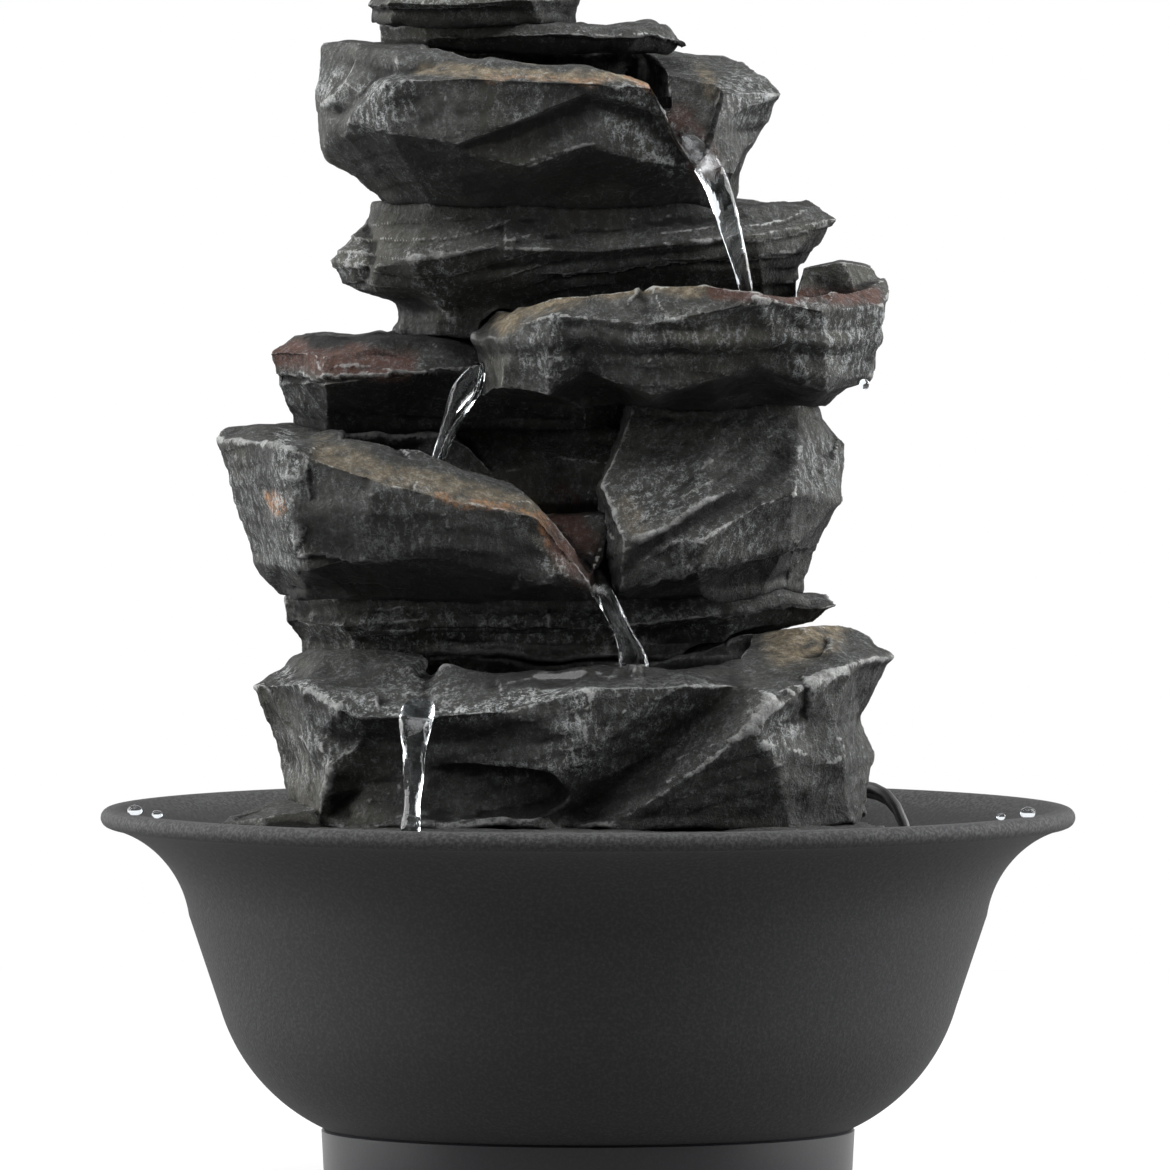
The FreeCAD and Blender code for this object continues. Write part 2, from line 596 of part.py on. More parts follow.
def make_motor_coil():
    """Winding round the yoke."""
    half = well_radius + well_wall
    back = body_back - 3.0
    block = box(back - core_leg - 2.4, back + 2.0, hose_y - half, hose_y + half,
                axis_level - coil_depth / 2, axis_level + coil_depth / 2)
    hole = box(back - core_leg, back, hose_y - half, hose_y + half,
               axis_level - core_depth / 2, axis_level + core_depth / 2)
    return block.cut(hole)


def make_pump_body():
    """Motor housing with a closed rotor well, open at the back for the motor."""
    well_length = body_wall + well_depth + well_wall
    body = pump_block(body_front, body_back, 0.0)
    body = body.makeFillet(3.0, [e for e in body.Edges if abs(e.tangentAt(0).x) > 0.9])
    body = body.cut(pump_block(body_front + body_wall, body_back, body_wall))
    body = body.fuse(well_tube(well_radius + well_wall, well_length))
    return body.cut(well_tube(well_radius, body_wall + well_depth)).removeSplitter()


def make_potting(core, coil):
    """Resin that seals the motor into the housing."""
    fill = pump_block(body_front + body_wall, body_back, body_wall)
    fill = fill.cut(well_tube(well_radius + well_wall, body_wall + well_depth + well_wall))
    return largest(fill.cut([core, coil]))


def make_pump_chamber():
    """Impeller chamber with a barred inlet and the outlet spigot."""
    block = pump_block(chamber_front, body_front, 0.0)
    block = block.makeFillet(3.0, [e for e in block.Edges if abs(e.tangentAt(0).x) > 0.9])
    spigot_foot = vec(hose_x, hose_y, axis_level + pump_side / 2 - 1.0)
    block = block.fuse(rod(spigot_radius, spigot_foot, Z_AXIS, spigot_height + 1.0))
    room = rod(chamber_radius, on_axis(chamber_front + chamber_front_wall), X_AXIS, chamber_length)
    block = block.cut(room)
    inlet = rod(inlet_radius, on_axis(chamber_front), X_AXIS, chamber_front_wall)
    hub = rod(bush_radius + 1.2, on_axis(chamber_front), X_AXIS, chamber_front_wall)
    bar = box(chamber_front, chamber_front + chamber_front_wall, hose_y - 1.0, hose_y + 1.0,
              axis_level - inlet_radius, axis_level + inlet_radius)
    block = block.cut(inlet.cut(hub).cut(bar))
    block = block.cut(rod(bush_radius, on_axis(chamber_front), X_AXIS, chamber_front_wall))
    return block.cut(rod(spigot_bore / 2, on_axis(0) + vec(hose_x, 0, 0), Z_AXIS, 60.0)).removeSplitter()


def make_shaft_bushes():
    """Front and back bearings of the fixed shaft."""
    front = rod(bush_radius - press_gap, on_axis(chamber_front + 0.4), X_AXIS, bush_length)
    back = rod(well_radius - press_gap, on_axis(well_end - bush_length), X_AXIS, bush_length)
    hole = rod(shaft_radius + press_gap, on_axis(chamber_front), X_AXIS, 100.0)
    return [front.cut(hole), back.cut(hole)]


def make_shaft():
    """Fixed ceramic shaft between the two bushes."""
    start = chamber_front + 0.6
    return rod(shaft_radius, on_axis(start), X_AXIS, well_end - 0.2 - start)


def make_rotor_magnet():
    """Magnet that turns on the shaft inside the well."""
    start = body_front + 1.0
    magnet = rod(magnet_radius, on_axis(start), X_AXIS, magnet_length)
    return magnet.cut(rod(shaft_radius + running_gap, on_axis(start), X_AXIS, magnet_length))


def make_impeller():
    """Straight vanes on a back disc, with a sleeve that meets the magnet."""
    front = chamber_front + chamber_front_wall + 2.0
    back = front + impeller_length
    wheel = rod(3.0, on_axis(front), X_AXIS, body_front + 1.0 - front)
    wheel = wheel.fuse(rod(impeller_radius, on_axis(back - 1.5), X_AXIS, 1.5))
    half = blade_thickness / 2
    blades = []
    for i in range(blade_count):
        tip = axis_level + impeller_radius - 0.5
        blade = box(front, back - 1.0, hose_y - half, hose_y + half, axis_level + 2.0, tip)
        blade.rotate(on_axis(0), X_AXIS, 360.0 * i / blade_count)
        blades.append(blade)
    hole = rod(shaft_radius + running_gap, on_axis(front - 1.0), X_AXIS, 60.0)
    return wheel.fuse(blades).cut(hole).removeSplitter()


def make_intake_cover():
    """Slotted box that snaps over the inlet."""
    shell = pump_block(cover_front, chamber_front, 0.0)
    shell = shell.cut(pump_block(cover_front + cover_wall, chamber_front, cover_wall))
    slots = []
    for y in (-12.0, -4.5, 4.5, 12.0):
        reach = 9.0 if abs(y) > 8.0 else 11.0
        for side in (-1, 1):
            z0, z1 = (3.5, reach) if side > 0 else (-reach, -3.5)
            slots.append(box(cover_front - 1.0, cover_front + cover_wall + 1.0, hose_y + y - 1.0,
                             hose_y + y + 1.0, axis_level + z0, axis_level + z1))
    slots.append(rod(stub_radius + running_gap, on_axis(cover_front - 1.0), X_AXIS, cover_wall + 2.0))
    return shell.cut(slots)


def make_flow_dial():
    """Turning disc on the front of the intake, with a window and a finger bar."""
    front = cover_front - 0.2 - dial_thickness
    dial = rod(dial_radius, on_axis(front), X_AXIS, dial_thickness)
    stub = rod(stub_radius, on_axis(front), X_AXIS, dial_thickness + cover_wall + 1.2)
    bar = box(front - 2.5, front + 0.5, hose_y - 1.2, hose_y + 1.2, axis_level - 6.0, axis_level + 6.0)
    window = box(front - 1.0, front + dial_thickness + 1.0, hose_y + 3.0, hose_y + 6.0,
                 axis_level - 4.0, axis_level + 4.0)
    return dial.fuse([stub, bar]).cut(window).removeSplitter()


def make_suction_cups():
    """Four cups that hold the pump to the bowl floor."""
    corners = [(0, 0), (cup_radius, 0), (3.0, 3.0), (3.0, cup_height), (0, cup_height)]
    hollow = [(0, 0), (cup_radius - 1.4, 0), (0, 1.6)]
    cups = []
    for x in (chamber_front + 7.0, body_back - 7.0):
        for y in (-8.5, 8.5):
            centre = vec(x, hose_y + y, floor_level)
            solids = []
            for outline in (corners, hollow):
                points = [centre + vec(r, 0, z) for r, z in outline]
                face = Part.Face(Part.makePolygon(points + points[:1]))
                solids.append(face.revolve(centre, Z_AXIS, 360))
            cups.append(solids[0].cut(solids[1]))
    return cups


def make_gland():
    """Tapered boot where the lead leaves the motor."""
    boot = Part.makeCone(gland_radius, cord_diameter / 2 + 0.9, gland_length, on_axis(body_back), X_AXIS)
    return boot.cut(rod(cord_diameter / 2 + 0.1, on_axis(body_back), X_AXIS, gland_length))


def arc_middle(start, tangent, end):
    """Middle of the arc that leaves start along a tangent and ends at end."""
    chord = end - start
    along = chord.normalize() if chord.Length else chord
    chord = end - start
    lean = max(-1.0, min(1.0, tangent.dot(along)))
    normal = tangent - along * lean
    if normal.Length < 1e-9:
        return None
    rise = chord.Length / 2 * math.tan(math.acos(lean) / 2)
    return (start + end) * 0.5 + normal.normalize() * rise


def biarc(p0, t0, p1, t1):
    """Two arcs that join two points with given directions."""
    chord = p1 - p0
    both = t0 + t1
    bend = 2 * (1 - t0.dot(t1))
    if bend < 1e-9:
        reach = chord.Length / 2
    else:
        reach = (-chord.dot(both) + math.sqrt(chord.dot(both) ** 2 + bend * chord.dot(chord))) / bend
    joint = (p0 + p1 + (t0 - t1) * reach) * 0.5
    edges = []
    for start, tangent, end in ((p0, t0, joint), (joint, (joint - p0 - t0 * reach).normalize(), p1)):
        middle = arc_middle(start, tangent, end)
        curve = Part.LineSegment(start, end) if middle is None else Part.Arc(start, middle, end)
        edges.append(curve.toShape())
    return edges


def rounded_route(points):
    """Straight runs with a tangent arc at each corner, and the arc radii."""
    edges = []
    radii = []
    start = points[0]
    for before, corner, after in zip(points, points[1:], points[2:]):
        inward = (corner - before).normalize()
        outward = (after - corner).normalize()
        turn = inward.getAngle(outward)
        short = min((corner - before).Length, (after - corner).Length)
        radius = 0.45 * short / math.tan(turn / 2)
        cut = radius * math.tan(turn / 2)
        first, last = corner - inward * cut, corner + outward * cut
        edges.append(Part.LineSegment(start, first).toShape())
        edges.append(Part.Arc(first, arc_middle(first, inward, last), last).toShape())
        radii.append(radius)
        start = last
    edges.append(Part.LineSegment(start, points[-1]).toShape())
    return edges, radii


def tube(edges, start, direction, name):
    """A round tube along joined edges, with its volume compared to section times length."""
    path = Part.Wire(edges)
    profile = Part.Wire([Part.makeCircle(cord_diameter / 2, start, direction)])
    shell = Part.BRepOffsetAPI.MakePipeShell(path)
    shell.add(profile, False, False)
    shell.build()
    shell.makeSolid()
    solid = shell.shape().Solids[0]
    ideal = math.pi * cord_diameter ** 2 / 4 * path.Length
    print(name, "length", round(path.Length, 1), "volume ratio", round(solid.Volume / ideal, 4))
    return solid


def coil_point(turn):
    """Centreline of the wound coil: spiral in, climb one layer, spiral out."""
    half = coil_turns / 2
    away = abs(turn - half)
    wound = 2.0 * away ** 2 if away < 0.25 else away - 0.125
    inner = coil_radius - coil_pitch * (half - 0.125)
    radius = inner + coil_pitch * wound
    share = min(1.0, max(0.0, (turn - half + 0.25) / 0.5))
    climb = share * share * (3 - 2 * share)
    angle = math.pi / 2 + 2 * math.pi * turn
    x = coil_x + radius * math.cos(angle)
    y = coil_y + radius * math.sin(angle)
    return vec(x, y, coil_level + coil_layer * climb)


def coil_direction(turn):
    """Direction of the coil's centreline."""
    if turn <= 0 or turn >= coil_turns:
        return vec(-1, 0, 0)
    return (coil_point(turn + 1e-4) - coil_point(turn - 1e-4)).normalize()


def coil_gap():
    """Least clear gap between turns of the coil."""
    per_turn = 48
    points = [coil_point(i / per_turn) for i in range(coil_turns * per_turn + 1)]
    least = 1e9
    for i, p in enumerate(points):
        for q in points[i + per_turn // 2:]:
            least = min(least, (p - q).Length)
    return least - cord_diameter


def make_cord_coil():
    """Spare lead wound flat in two layers, its ends straight for one diameter."""
    steps = coil_turns * 4
    edges = []
    entry = coil_point(0) + vec(cord_diameter, 0, 0)
    edges.append(Part.LineSegment(entry, coil_point(0)).toShape())
    for i in range(steps):
        a, b = coil_turns * i / steps, coil_turns * (i + 1) / steps
        edges += biarc(coil_point(a), coil_direction(a), coil_point(b), coil_direction(b))
    leave = coil_point(coil_turns) - vec(cord_diameter, 0, 0)
    edges.append(Part.LineSegment(coil_point(coil_turns), leave).toShape())
    print("coil least gap", round(coil_gap(), 2))
    return tube(edges, entry, vec(-1, 0, 0), "cord_coil")


def make_cord_lead():
    """Free stretch: pump, up beside the stones, over the back rim and down to the coil."""
    entry = coil_point(0) + vec(cord_diameter, 0, 0)
    points = [
        on_axis(body_back),
        vec(70.5, hose_y, axis_level),
        vec(70.4, 13.0, rim_level + 1.0),
        vec(54.0, 35.5, rim_level + 4.0),
        vec(51.0, 52.0, rim_level + 1.5),
        vec(48.5, 74.5, rim_level + 7.5),
        vec(47.0, 106.5, rim_level + 7.5),
        vec(47.0, 104.5, 47.0),
        vec(46.0, entry.y - 31.5, entry.z),
        vec(44.0, entry.y, entry.z),
        entry,
    ]
    edges, radii = rounded_route(points)
    print("cord_lead radii", [round(r, 1) for r in radii])
    return tube(edges, points[0], X_AXIS, "cord_lead")


def make_cord_tail():
    """Last stretch from the coil to the plug."""
    leave = coil_point(coil_turns) - vec(cord_diameter, 0, 0)
    points = [
        leave,
        vec(-16.0, leave.y, leave.z),
        vec(-46.0, leave.y, plug_height / 2),
        vec(-46.0, leave.y - 30.0, plug_height / 2),
    ]
    edges, radii = rounded_route(points)
    print("cord_tail radii", [round(r, 1) for r in radii])
    return tube(edges, leave, vec(-1, 0, 0), "cord_tail"), points[-1]


def make_cord_tie():
    """Strap round the wound lead."""
    reach = coil_radius + cord_diameter / 2 + 0.6
    inner = coil_radius - coil_pitch * (coil_turns / 2 - 0.125) - cord_diameter / 2 - 0.6
    top = coil_level + coil_layer + cord_diameter / 2 + 0.3
    bottom = coil_level - cord_diameter / 2 - 0.2
    t = tie_thickness - 0.1
    outside = box(-reach - t, -inner + t, -2.0, 2.0, bottom - t, top + t)
    strap = outside.cut(box(-reach, -inner, -3.0, 3.0, bottom, top))
    strap.translate(vec(coil_x, coil_y, 0))
    return strap


def make_plug(entry):
    """Two-pin plug lying on the table, with a tapered relief at its lead end."""
    half = plug_width / 2
    back = entry.y
    neck = cord_diameter / 2 + 1.0
    corners = [
        (-neck, 0),
        (neck, 0),
        (neck + 2.0, -plug_relief),
        (half, -plug_relief - 4.0),
        (half, -plug_length),
        (-half, -plug_length),
        (-half, -plug_relief - 4.0),
        (-neck - 2.0, -plug_relief),
    ]
    points = [(entry.x + x, back + y) for x, y in corners]
    body = polygon_prism(points, 0.0, plug_height)
    upright = [e for e in body.Edges if abs(e.tangentAt(0).z) > 0.9]
    body = body.makeFillet(2.0, [e for e in upright if e.Vertexes[0].Y < back - plug_relief - 1.0])
    blades = []
    tip = back - plug_length
    for side in (-1, 1):
        x = entry.x + side * blade_spacing / 2
        blades.append(box(x - blade_gauge / 2, x + blade_gauge / 2, tip - blade_length, tip,
                          plug_height / 2 - blade_width / 2, plug_height / 2 + blade_width / 2))
    return body, blades


def write(name, solids):
    """One STEP file for one named piece or group of identical pieces."""
    shape = solids[0] if len(solids) == 1 else Part.makeCompound(solids)
    valid = all(solid.isValid() for solid in solids)
    volume = sum(solid.Volume for solid in solids)
    print(name, len(solids), "valid" if valid else "NOT VALID", round(volume), len(shape.Faces))
    shape.exportStep(os.path.join("parts", name + ".step"))


def main():
    os.makedirs("parts", exist_ok=True)
    pieces = {"bowl": [make_bowl()], "foot_ring": [make_foot_ring()], "foot_pads": make_foot_pads()}
    for name, stone in make_stones().items():
        pieces[name] = [stone]
    core, winding = make_core(), make_motor_coil()
    tail, plug_entry = make_cord_tail()
    plug, blades = make_plug(plug_entry)
    pieces.update({
        "hose": [make_hose()],
        "hose_outlet": [make_hose_outlet()],
        "pump_body": [make_pump_body()],
        "pump_chamber": [make_pump_chamber()],
        "stator_core": [core],
        "motor_coil": [winding],
        "potting": [make_potting(core, winding)],
        "rotor_magnet": [make_rotor_magnet()],
        "impeller": [make_impeller()],
        "impeller_shaft": [make_shaft()],
        "shaft_bushes": make_shaft_bushes(),
        "intake_cover": [make_intake_cover()],
        "flow_dial": [make_flow_dial()],
        "suction_cups": make_suction_cups(),
        "cord_gland": [make_gland()],
        "cord_lead": [make_cord_lead()],
        "cord_coil": [make_cord_coil()],
        "cord_tie": [make_cord_tie()],
        "cord_tail": [tail],
        "plug_body": [plug],
        "plug_blades": blades,
    })
    for name, solids in pieces.items():
        write(name, solids)


main()
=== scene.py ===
"""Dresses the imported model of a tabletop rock-cascade fountain."""

import json
import logging
import math
from dataclasses import dataclass, field
from enum import Enum
from typing import Any, Optional, Sequence, Union

import bmesh
import bpy
import numpy as np
from mathutils import Matrix, Vector


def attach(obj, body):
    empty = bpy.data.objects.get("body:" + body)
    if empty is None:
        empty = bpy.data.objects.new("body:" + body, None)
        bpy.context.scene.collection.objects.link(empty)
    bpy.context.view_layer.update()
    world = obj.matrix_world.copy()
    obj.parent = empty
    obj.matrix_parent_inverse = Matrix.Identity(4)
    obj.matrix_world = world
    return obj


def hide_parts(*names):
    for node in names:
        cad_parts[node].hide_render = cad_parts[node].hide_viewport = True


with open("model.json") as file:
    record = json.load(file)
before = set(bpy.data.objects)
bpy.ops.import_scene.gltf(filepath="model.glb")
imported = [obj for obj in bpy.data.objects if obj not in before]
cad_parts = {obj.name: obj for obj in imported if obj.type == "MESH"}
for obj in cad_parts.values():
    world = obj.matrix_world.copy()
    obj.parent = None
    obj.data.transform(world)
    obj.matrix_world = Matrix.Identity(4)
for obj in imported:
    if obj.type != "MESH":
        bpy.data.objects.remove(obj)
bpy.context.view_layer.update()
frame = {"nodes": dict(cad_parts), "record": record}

MM = 0.001
LOG = logging.getLogger("fountain")

Colour = tuple[float, float, float]
Spot = tuple[float, float]
Place = tuple[float, float, float]

Row = tuple[float, float, float, float, float, float]

ORIGIN: Place = (0.0, 0.0, 0.0)
EVEN: Place = (1.0, 1.0, 1.0)

class Wire:
    """A shader socket whose arithmetic adds Math nodes."""

    def __init__(self, shade: "Shade", socket: bpy.types.NodeSocket) -> None:
        """Keeps the socket and the shade that it belongs to."""
        self.shade = shade
        self.socket = socket

    def _math(self, operation: str, first: "Feed", second: "Feed") -> "Wire":
        """Adds one Math node."""
        return self.shade.node("ShaderNodeMath", {"operation": operation}, {0: first, 1: second})

    def __add__(self, other: "Feed") -> "Wire":
        """Sum."""
        return self._math("ADD", self, other)

    __radd__ = __add__

    def __sub__(self, other: "Feed") -> "Wire":
        """Difference."""
        return self._math("SUBTRACT", self, other)

    def __rsub__(self, other: "Feed") -> "Wire":
        """Difference, from the right."""
        return self._math("SUBTRACT", other, self)

    def __mul__(self, other: "Feed") -> "Wire":
        """Product."""
        return self._math("MULTIPLY", self, other)

    __rmul__ = __mul__

    def maximum(self, other: "Feed") -> "Wire":
        """The larger of two values."""
        return self._math("MAXIMUM", self, other)

    def absolute(self) -> "Wire":
        """The value without its sign."""
        return self._math("ABSOLUTE", self, 0.0)

    def step(self, low: float, high: float) -> "Wire":
        """A smooth rise from 0 at low to 1 at high."""
        return self.shade.node(
            "ShaderNodeMapRange", {"interpolation_type": "SMOOTHSTEP"}, {0: self, 1: low, 2: high})


Feed = Union[Wire, float, Colour]


class Shade:
    """The node tree of one finish."""

    def __init__(self, name: str) -> None:
        """Starts an empty material.

        Args:
            name: name of the material.
        """
        self.material = bpy.data.materials.new(name)
        self.material.use_nodes = True
        self.tree = self.material.node_tree
        self.tree.nodes.clear()
        self._place: Optional[Wire] = None

    def feed(self, socket: bpy.types.NodeSocket, value: Feed) -> None:
        """Links a wire to a socket, or sets the socket's own value."""
        if isinstance(value, Wire):
            self.tree.links.new(value.socket, socket)
        elif isinstance(value, tuple) and len(socket.default_value) == 4:
            socket.default_value = (*value, 1.0)
        else:
            socket.default_value = value

    def node(self, kind: str, settings: Optional[dict[str, Any]] = None,
             inputs: Optional[dict[Any, Feed]] = None, output: Union[int, str] = 0) -> Wire:
        """Adds a node.

        Args:
            kind: type name of the node.
            settings: its properties, set first.
            inputs: values or wires of its sockets.
            output: the socket that is returned.

        Returns:
            The output as a wire.
        """
        made = self.tree.nodes.new(kind)
        for key, value in (settings or {}).items():
            setattr(made, key, value)
        for key, value in (inputs or {}).items():
            self.feed(made.inputs[key], value)
        return Wire(self, made.outputs[output])

    def place(self) -> Wire:
        """Object coordinates."""
        if self._place is None:
            self._place = self.node("ShaderNodeTexCoord", output="Object")
        return self._place

    def noise(self, scale: float, detail: float = 3.0, roughness: float = 0.55,
              stretch: Place = EVEN, turn: Place = ORIGIN) -> Wire:
        """Noise over object coordinates.

        Args:
            scale: features per metre.
            detail: octaves.
            roughness: share of the finer octaves.
            stretch: scale of each axis.
            turn: rotation of the pattern, in radians.

        Returns:
            The noise, about 0.5 on average.
        """
        place = self.place()
        if stretch != EVEN or turn != ORIGIN:
            place = self.node("ShaderNodeMapping", {},
                              {"Vector": place, "Rotation": turn, "Scale": stretch})
        return self.node("ShaderNodeTexNoise", {"noise_dimensions": "3D"},
                         {"Vector": place, "Scale": scale, "Detail": detail, "Roughness": roughness})

    def crackle(self, scale: float, bend: float) -> Wire:
        """Distance to the nearest line of a net of bent cells.

        Args:
            scale: cells per metre.
            bend: how far the net is pulled about, in metres.

        Returns:
            The distance, in cells.
        """
        place = self.place()
        pull = self.node("ShaderNodeTexNoise", {}, {"Vector": place, "Scale": scale * 0.7, "Detail": 3.0},
                         output="Color")
        bent = self.node("ShaderNodeVectorMath", {"operation": "MULTIPLY_ADD"},
                         {0: pull, 1: (bend, bend, bend), 2: place})
        return self.node("ShaderNodeTexVoronoi", {"feature": "DISTANCE_TO_EDGE"},
                         {"Vector": bent, "Scale": scale})

    def field(self, name: str) -> Wire:
        """A value stored on the piece's own points."""
        return self.node("ShaderNodeAttribute", {"attribute_name": name}, output="Fac")

    def blend(self, factor: Feed, first: Feed, second: Feed) -> Wire:
        """A mix of two colours."""
        return self.node("ShaderNodeMix", {"data_type": "RGBA", "clamp_factor": True},
                         {0: factor, 6: first, 7: second}, output=2)

    def bump(self, height: Wire, strength: float, distance: float) -> Wire:
        """A bumped normal from a height."""
        return self.node("ShaderNodeBump", {},
                         {"Strength": strength, "Distance": distance, "Height": height})

    def finish(self, sockets: dict[str, Feed]) -> bpy.types.Material:
        """Closes the tree with one Principled shader.

        Args:
            sockets: values or wires of the shader's sockets.

        Returns:
            The material.
        """
        self.close("ShaderNodeOutputMaterial", self.node("ShaderNodeBsdfPrincipled", {}, sockets))
        return self.material

    def close(self, kind: str, surface: Wire) -> None:
        """Adds the output node."""
        self.feed(self.tree.nodes.new(kind).inputs["Surface"], surface)


@dataclass(frozen=True)
class SlatePaint:
    """Cast stone with a dark wash, pale dry brushing and painted shade in hollows, at beds, in shadow zones
    and on faces that turn up and down.
    """

    name: str = "slate_paint"
    # deep is the near-black of painted shade under faces that turn down, in hollows, at beds and in the
    # dark zones, and of wet stone.
    deep: Colour = (0.008, 0.008, 0.008)
    body: Colour = (0.036, 0.037, 0.035)
    worn: Colour = (0.090, 0.091, 0.086)
    warm: Colour = (0.082, 0.078, 0.063)
    brush: Colour = (0.36, 0.39, 0.41)
    ridge: Colour = (0.44, 0.45, 0.44)
    tan: Colour = (0.130, 0.108, 0.076)
    pale_tan: Colour = (0.270, 0.215, 0.140)
    rust: Colour = (0.092, 0.047, 0.037)
    orange: Colour = (0.36, 0.175, 0.075)

    def material(self) -> bpy.types.Material:
        """Builds the material.

        Returns:
            Paint that follows the wear and zone values of a stone, with painted shade from its hollow,
            under, top and shadow-zone values.
        """
        shade = Shade(self.name)
        broad = shade.noise(48.0, 4.0, 0.6)
        mottle = shade.noise(260.0, 7.0, 0.70)
        grain = shade.noise(950.0, 6.0, 0.72)
        streak = shade.noise(620.0, 6.0, 0.72, stretch=(1.0, 1.0, 0.42), turn=(0.2, 0.35, 0.0))
        thread = (shade.noise(430.0, 5.0, 0.62, turn=(0.4, 0.1, 0.3)) - 0.5).absolute().step(0.020, 0.0)
        frost = shade.crackle(760.0, 0.0045).step(0.17, 0.02) * streak.step(0.44, 0.60)
        wear, under, zone = shade.field("wear"), shade.field("under"), shade.field("brush")
        wet = shade.field("wet")
        colour = shade.blend((broad * 0.55 + mottle * 0.45).step(0.36, 0.64), self.body, self.worn)
        colour = shade.blend(shade.noise(30.0, 3.0).step(0.50, 0.66) * 0.65, colour, self.warm)
        # Painted shade: faces that turn up are darkened back to the body colour.
        colour = shade.blend(shade.field("top") * 0.8, colour, self.body)
        # Painted shade: faces that turn down are darkened towards deep, and the pale brushing, frost and
        # rubbed edges below are thinned on them.
        colour = shade.blend(under * 0.72, colour, self.deep)
        sandy = shade.blend((mottle * 0.5 + grain * 0.5).step(0.46, 0.62), self.tan, self.pale_tan)
        colour = shade.blend(shade.field("tan") * mottle.step(0.30, 0.52), colour, sandy)
        colour = shade.blend(shade.field("rust") * mottle.step(0.30, 0.50), colour, self.rust)
        colour = shade.blend(shade.field("orange") * grain.step(0.40, 0.55), colour, self.orange)
        peaks = (mottle * 0.45 + grain * 0.55).step(0.53, 0.66)
        dry = peaks * (zone * 0.60 + 0.34) + streak.step(0.50, 0.68) * zone * 0.55
        colour = shade.blend(dry * (1.0 - under * 0.75), colour, self.brush)
        colour = shade.blend(thread * streak.step(0.42, 0.60) * (zone + 0.30), colour, self.brush)
        colour = shade.blend(frost * (zone * 0.95 + 0.15) * (1.0 - under * 0.8), colour, self.ridge)
        rubbed = (wear * 1.2 - (1.0 - grain.step(0.36, 0.60)) * 0.6).step(0.10, 0.80)
        dabs = mottle.step(0.38, 0.60) * 0.70 + 0.30
        colour = shade.blend(rubbed * dabs * (0.86 - under * 0.58), colour, self.ridge)
        # Painted shade and shadow: hollows, the joint at each bed and the dark zones are darkened towards
        # deep.
        colour = shade.blend(shade.field("hollow_and_bed_shade").maximum(shade.field("dark")) * 0.85, colour, self.deep)
        colour = shade.blend(wet * 0.55, colour, self.deep)
        height = mottle * 0.55 + grain * 0.35 + streak * 0.12 + frost * 0.05
        rough = 0.66 + grain * 0.25 - wet * 0.50
        return shade.finish({
            "Base Color": colour, "Roughness": rough, "Specular IOR Level": 0.12,
            "Coat Weight": wet * 0.8, "Coat Roughness": 0.14,
            "Normal": shade.bump(height, 1.0, 0.0027)})


@dataclass(frozen=True)
class GrainedPlastic:
    """Moulded plastic with a fine cast grain."""

    name: str
    colour: Colour
    pale: Colour
    roughness: float = 0.55
    grain: float = 900.0
    depth: float = 0.0003
    strength: float = 0.5
    specular: float = 0.4
    scuffed: float = 0.0
    scuff: Colour = (0.11, 0.11, 0.11)

    def material(self) -> bpy.types.Material:
        """Builds the material.

        Returns:
            A dark plastic with speckle, dust and grain.
        """
        shade = Shade(self.name)
        fine = shade.noise(self.grain, 3.0, 0.6)
        coarse = shade.noise(self.grain * 0.45, 2.0, 0.5)
        cloud = shade.noise(22.0, 3.0, 0.5)
        speckle = fine.step(0.40, 0.72) * 0.6 + cloud.step(0.45, 0.7) * 0.12
        colour = shade.blend(speckle, self.colour, self.pale)
        if self.scuffed:
            level = shade.node("ShaderNodeSeparateXYZ", {}, {0: shade.place()}, output=2)
            edge = level.step(self.scuffed - 0.003, self.scuffed) * fine.step(0.40, 0.62)
            colour = shade.blend(edge * 0.3, colour, self.scuff)
        return shade.finish({
            "Base Color": colour, "Roughness": self.roughness + cloud * 0.12 - fine * 0.06,
            "Specular IOR Level": self.specular,
            "Normal": shade.bump(fine * 0.5 + coarse * 0.5, self.strength, self.depth)})


@dataclass(frozen=True)
class WoundMetal:
    """Metal with fine drawn lines along one axis."""

    name: str
    colour: Colour
    dull: Colour
    lines: Place = (40.0, 2500.0, 2500.0)
    roughness: float = 0.32

    def material(self) -> bpy.types.Material:
        """Builds the material.

        Returns:
            A metal with drawn lines and dull patches.
        """
        shade = Shade(self.name)
        drawn = shade.noise(1.0, 3.0, 0.6, stretch=self.lines)
        cloud = shade.noise(160.0, 4.0, 0.6)
        colour = shade.blend(cloud.step(0.4, 0.7), self.colour, self.dull)
        return shade.finish({
            "Base Color": colour, "Metallic": 1.0, "Roughness": self.roughness + drawn * 0.2,
            "Normal": shade.bump(drawn, 0.3, 0.00015)})


@dataclass(frozen=True)
class ClearVinyl:
    """Slightly cloudy clear hose."""

    name: str = "clear_vinyl"
    colour: Colour = (0.86, 0.90, 0.90)

    def material(self) -> bpy.types.Material:
        """Builds the material.

        Returns:
            A translucent plastic with faint drawn lines.
        """
        shade = Shade(self.name)
        cloud = shade.noise(140.0, 4.0, 0.6)
        colour = shade.blend(cloud.step(0.4, 0.7) * 0.5, self.colour, (0.70, 0.76, 0.76))
        return shade.finish({
            "Base Color": colour, "Roughness": 0.12 + cloud * 0.15, "Transmission Weight": 0.8, "IOR": 1.5,
            "Normal": shade.bump(shade.noise(500.0, 2.0), 0.15, 0.0003)})


@dataclass(frozen=True)
class ClearWater:
    """Moving or still water."""

    name: str
    ripple: float
    depth: float
    strength: float
    tint: Colour = (0.93, 0.97, 1.0)

    def material(self) -> bpy.types.Material:
        """Builds the material.

        Returns:
            Clear water with a rippled surface.
        """
        shade = Shade(self.name)
        wave = shade.noise(self.ripple, 3.0, 0.5, stretch=(1.0, 1.0, 0.5))
        return shade.finish({
            "Base Color": self.tint, "Roughness": 0.03 * wave, "Transmission Weight": 1.0, "IOR": 1.333,
            "Normal": shade.bump(wave, self.strength, self.depth)})


